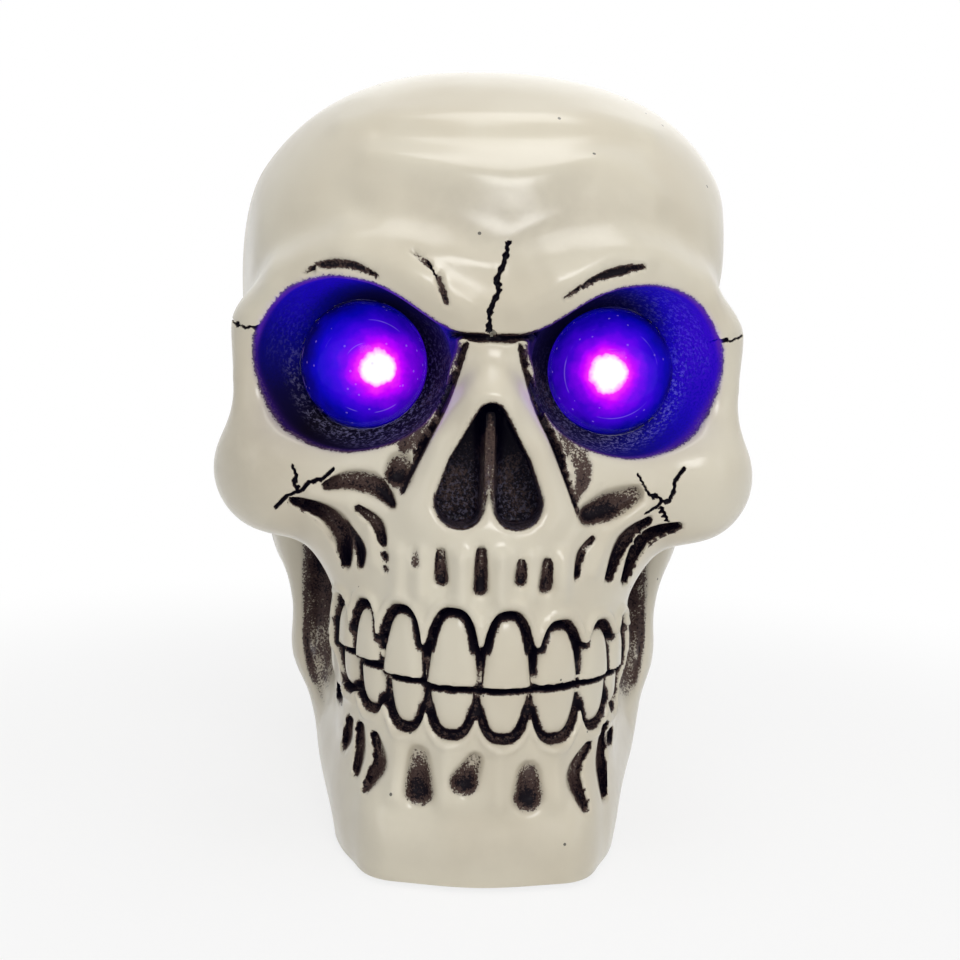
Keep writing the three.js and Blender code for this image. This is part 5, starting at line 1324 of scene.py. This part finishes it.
# Finger grip on the battery door, each ridge with a narrower end: radius, length
ridges = {"half": 5.5, "radius": 0.42, "end": (0.2, 0.3), "around": 16, "count": 6, "pitch": 1.5,
          "start": (0, 12, 1.27)}
thin, over = ridges["end"]
whole = 2 * ridges["half"]
rings = ((thin, -over), (ridges["radius"], 0), (ridges["radius"], whole), (thin, whole + over))
piece = lathe("doorRidges", rings, (0, 0, 0), around=ridges["around"])
piece.data.transform(Matrix.Rotation(math.pi / 2, 4, "Y") @ Matrix.Translation((0, 0, -ridges["half"] * mm)))
setOut(shaded(piece), rows, (1, 1), (ridges["count"], ridges["pitch"]), ridges["start"], finishes["black"])
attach(piece, "door")
print("screws, feet and door ridges set out")

springs = {"turns": 4.0, "radius": 2.9, "wire": 0.3, "length": 4.4, "steps": 40, "around": 12,
           "sharpAngle": 60, "at": ((-11, -30.4, 8.25), (0, 15.2, 8.25), (11, -30.4, 8.25))}


def makeSprings():
    sizes = ("Turns", "Radius", "Wire", "Length")
    tree, given, result = newTree("contactCoil", {name: "Float" for name in sizes})
    inputs = {"Resolution": springs["steps"], "Rotations": given["Turns"], "Start Radius": given["Radius"],
              "End Radius": given["Radius"], "Height": given["Length"], "Reverse": True}
    coil = addNode(tree, "GeometryNodeCurveSpiral", inputs).outputs[0]
    inputs = {"Resolution": springs["around"], "Radius": given["Wire"]}
    wire = addNode(tree, "GeometryNodeCurvePrimitiveCircle", inputs).outputs[0]
    inputs = {"Geometry": tubeAlong(tree, coil, wire), "Rotation": (-math.pi / 2, 0, 0)}
    turned = addNode(tree, "GeometryNodeTransform", inputs).outputs[0]
    closeTree(tree, result, copiesAt(tree, given["Shape"], turned))
    piece = pieceOf("contactSprings", meshOf("contactSprings", springs["at"], []))
    values = {name: springs[name.lower()] * mm for name in sizes[1:]}
    runTree(piece, tree, {"Turns": springs["turns"], **values}, finishes["steel"])
    shaded(piece, springs["sharpAngle"])
    standFor(piece, "skull", "steel", "contact_spring_1", "contact_spring_2", "contact_spring_3")


makeSprings()

leads = {  # flat twin leads, routes in mm
    "core": 0.64, "apart": 1.1, "points": 60, "around": 14, "easeSteps": 8, "sharpAngle": 60,
    "led": ((25.4, -19.6, 99.6), (25, -8, 97), (22, 8, 86), (15, 26, 58), (9, 36, 32), (7.5, 38, 18),
            (7.5, 36.85, 11.1)),
    "battery": ((13, 22.1, 8.25), (13, 24.5, 8.25), (13, 26.8, 15.3), (11.7, 29.2, 13.8), (11.7, 29.2, 11.1)),
}


def makeLeads():
    tree, given, result = newTree("twinLead", {"Core": "Float", "Apart": "Float", "Points": "Int"})
    path = addNode(tree, "GeometryNodeMeshToCurve", {"Mesh": given["Shape"]}).outputs[0]
    path = addNode(tree, "GeometryNodeResampleCurve", {"Curve": path, "Count": given["Points"]}).outputs[0]
    inputs = {"Resolution": leads["around"], "Radius": given["Core"]}
    ring = addNode(tree, "GeometryNodeCurvePrimitiveCircle", inputs).outputs[0]
    half = sums(tree, "MULTIPLY", given["Apart"], 0.5)
    both = tree.nodes.new("GeometryNodeJoinGeometry")
    for sign in (-1.0, 1.0):
        aside = addNode(tree, "ShaderNodeCombineXYZ", {"Y": sums(tree, "MULTIPLY", half, sign)}).outputs[0]
        moved = addNode(tree, "GeometryNodeTransform", {"Geometry": ring, "Translation": aside})
        tree.links.new(moved.outputs[0], both.inputs[0])
    closeTree(tree, result, tubeAlong(tree, path, both.outputs[0]))
    values = {"Core": leads["core"] * mm, "Apart": leads["apart"] * mm, "Points": leads["points"]}
    for name, node, route, side in (("ledCableLeft", "led_cable_left", "led", -1),
                                    ("ledCableRight", "led_cable_right", "led", 1),
                                    ("batteryLead", "battery_lead", "battery", 1)):
        curve = eased([(side * x, y, z) for x, y, z in leads[route]], leads["easeSteps"])
        data = bpy.data.meshes.new(name)
        data.from_pydata([tuple(v * mm) for v in curve], [(i, i + 1) for i in range(len(curve) - 1)], [])
        piece = runTree(pieceOf(name, data), tree, values, finishes["jacket"])
        standFor(shaded(piece, leads["sharpAngle"]), "skull", "cable_jacket", node)


makeLeads()
print("springs and leads made")

# Cells: rings of radius, place along the cell. An end is steel beyond a place along it, within a radius.
cells = {
    "rings": ((4.2, 0.2), (4.3, 0), (5, 0), (5.25, 0.25), (5.25, 43), (5, 43.3), (3.4, 43.3), (3.3, 43.1),
              (2, 43.1), (1.9, 44.2), (1.6, 44.5)),
    "flatEnd": (0.3, 4.35), "buttonEnd": (43.05, 3.42), "height": 8.25, "around": 56, "sharpAngle": 30,
    "at": {"cell_1": (-11, -25.3, 1), "cell_2": (0, 14.6, -1), "cell_3": (11, -25.3, 1)},
}
for node, (x, y, way) in cells["at"].items():
    rings = [(r, a * way) for r, a in cells["rings"]][::way]
    at = (x, y, cells["height"])
    piece = lathe("batteryCell" + node[-1], rings, at, axis="Y", around=cells["around"])
    shaded(piece, cells["sharpAngle"])
    piece.data.materials.append(finishes["wrap"])
    piece.data.materials.append(finishes["steel"])
    for face in piece.data.polygons:
        along = (face.center.y / mm - y) * way
        off = math.hypot(face.center.x / mm - x, face.center.z / mm - cells["height"])
        flatEnd = along < cells["flatEnd"][0] and off < cells["flatEnd"][1]
        buttonEnd = along > cells["buttonEnd"][0] and off < cells["buttonEnd"][1]
        face.material_index = int(flatEnd or buttonEnd)
    standFor(piece, "skull", "cell_wrap", node)
print("cells made")

edged = {  # plain parts with softened edges: node, body, slot, finish, edge width in mm
    "batteryTray": ("battery_tray", "skull", "black_plastic", "black", 0.16),
    "switchBody": ("switch_body", "skull", "black_plastic", "black", 0.16),
    "switchSlider": ("switch_slider", "slider", "black_plastic", "black", 0.16),
    "driverChip": ("driver_chip", "skull", "chip_resin", "chip", 0.12),
    "resistorLeft": ("resistor_left", "skull", "chip_resin", "chip", 0.1),
    "resistorRight": ("resistor_right", "skull", "chip_resin", "chip", 0.1),
    "contactPlate1": ("contact_plate_1", "skull", "steel", "steel", 0.08),
    "contactPlate2": ("contact_plate_2", "skull", "steel", "steel", 0.08),
    "contactPlate3": ("contact_plate_3", "skull", "steel", "steel", 0.08),
}
edging = {"merge": 0.002, "flatAngle": 1, "cornerAngle": 50, "segments": 2, "shadeAngle": 24}  # mm, degrees
for name, (node, body, slotName, finish, width) in edged.items():
    piece = pieceOf(name, nodes[node].data.copy())
    data = bmesh.new()
    data.from_mesh(piece.data)
    bmesh.ops.remove_doubles(data, verts=data.verts, dist=edging["merge"] * mm)
    flatAngle = math.radians(edging["flatAngle"])
    bmesh.ops.dissolve_limit(data, angle_limit=flatAngle, verts=data.verts, edges=data.edges)
    data.to_mesh(piece.data)
    data.free()
    step = piece.modifiers.new("edges", "BEVEL")
    step.width, step.segments = width * mm, edging["segments"]
    step.limit_method, step.angle_limit = "ANGLE", math.radians(edging["cornerAngle"])
    step.use_clamp_overlap = False
    plainMesh(piece)
    piece.data.materials.clear()
    piece.data.materials.append(finishes[finish])
    standFor(shaded(piece, edging["shadeAngle"]), body, slotName, node)
carried = {  # parts that keep the solids' own shape, by finish
    "black": ("base_plate", "battery_door", "led_holder_left", "led_holder_right"),
    "board": ("control_board", ),
    "lamp": ("led_left", "led_right"),
}
for finish, names in carried.items():
    for name in names:
        for holder in nodes[name].material_slots:
            holder.material = finishes[finish]
print("plain parts edged:", len(edged))

view = {"target": (-1.6, -58, 78.5), "distance": 240, "yaw": -2, "pitch": 5.5, "roll": 1.6, "lens": 47.37,
        "sensor": 36, "clip": (0.01, 20)}


def makeCamera():
    yaw, pitch, roll = (math.radians(view[k]) for k in ("yaw", "pitch", "roll"))
    back = Vector((math.sin(yaw) * math.cos(pitch), -math.cos(yaw) * math.cos(pitch), math.sin(pitch)))
    right = (-back).cross(Vector((0, 0, 1))).normalized()
    up = right.cross(-back)
    across = right * math.cos(roll) + up * math.sin(roll)
    upward = up * math.cos(roll) - right * math.sin(roll)
    camera = bpy.data.objects.new("camera", bpy.data.cameras.new("camera"))
    camera.data.lens, camera.data.sensor_width = view["lens"], view["sensor"]
    camera.data.clip_start, camera.data.clip_end = view["clip"]
    camera.matrix_world = Matrix((across, upward, back)).transposed().to_4x4()
    camera.location = (Vector(view["target"]) + back * view["distance"]) * mm
    bpy.context.scene.collection.objects.link(camera)
    bpy.context.scene.camera = camera


makeCamera()

lights = {  # place, aim and size in metres, power in watts
    "overhead": {"at": (0.05, -0.1, 0.86), "aim": (0, -0.02, 0.1), "size": (0.5, 0.4), "power": 2.1},
    "front": {"at": (0.12, -0.8, 0.52), "aim": (0, -0.02, 0.09), "size": (0.4, 0.22), "power": 2.8},
    "left": {"at": (-0.6, -0.6, 0.2), "aim": (0, -0.02, 0.08), "size": (0.3, 0.6), "power": 0.5},
    "right": {"at": (0.65, -0.5, 0.24), "aim": (0, -0.02, 0.08), "size": (0.3, 0.6), "power": 0.48},
    "rear": {"at": (0.1, 0.8, 0.6), "aim": (0, 0, 0.1), "size": (0.7, 0.7), "power": 0.6},
}
# What surrounds the skull, in metres. The floor is white to the camera apart from a faint shadow, which fades
# out between the two radii.
surround = {"light": 0.22, "floor": (0.9, 0.9, 0.9, 1), "floorRough": 0.9, "floorRadius": 3.0,
            "floorHeights": (-0.002, -0.00002), "shadow": (0.1, 0.3), "shadowShares": (0.8, 1)}


def seenDirectly(tree):  # 1 for what the camera sees, also in a reflection or through a lens
    path = addNode(tree, "ShaderNodeLightPath").outputs
    seen = sums(tree, "MAXIMUM", path["Is Camera Ray"], path["Is Transmission Ray"])
    return sums(tree, "MAXIMUM", seen, path["Is Glossy Ray"])


def makeStage():
    for name, f in lights.items():
        lamp = bpy.data.lights.new(name, "AREA")
        lamp.shape, lamp.size, lamp.size_y, lamp.energy = "RECTANGLE", *f["size"], f["power"]
        piece = bpy.data.objects.new(name, lamp)
        piece.location = f["at"]
        piece.rotation_euler = (Vector(f["aim"]) - Vector(f["at"])).to_track_quat("-Z", "Y").to_euler()
        bpy.context.scene.collection.objects.link(piece)
    world = bpy.data.worlds.new("studio")
    bpy.context.scene.world = world
    world.use_nodes = True
    tree = world.node_tree
    strength = between(tree, seenDirectly(tree), 0, 1, surround["light"], 1)
    feed(tree, tree.nodes["Background"], {"Color": (1, 1, 1, 1), "Strength": strength})
    rings = [(surround["floorRadius"] / mm, height / mm) for height in surround["floorHeights"]]
    floor = lathe("floor", rings, (0, 0, 0))
    made, tree, shader = newFinish("paleFloor")
    feed(tree, shader, {"Base Color": surround["floor"], "Roughness": surround["floorRough"],
                        "Specular IOR Level": 0})
    white = addNode(tree, "ShaderNodeEmission", {"Color": (1, 1, 1, 1), "Strength": 1})
    away = lengthOf(tree, placeOn(tree))
    clear = between(tree, away, *surround["shadow"], *surround["shadowShares"])
    share = sums(tree, "MULTIPLY", seenDirectly(tree), clear)
    mixed = addNode(tree, "ShaderNodeMixShader", {0: share, 1: shader.outputs[0], 2: white.outputs[0]})
    tree.links.new(mixed.outputs[0], tree.nodes["Material Output"].inputs[0])
    floor.data.materials.append(made)


makeStage()
bpy.context.scene.view_settings.view_transform = "Standard"
print("scene ready")
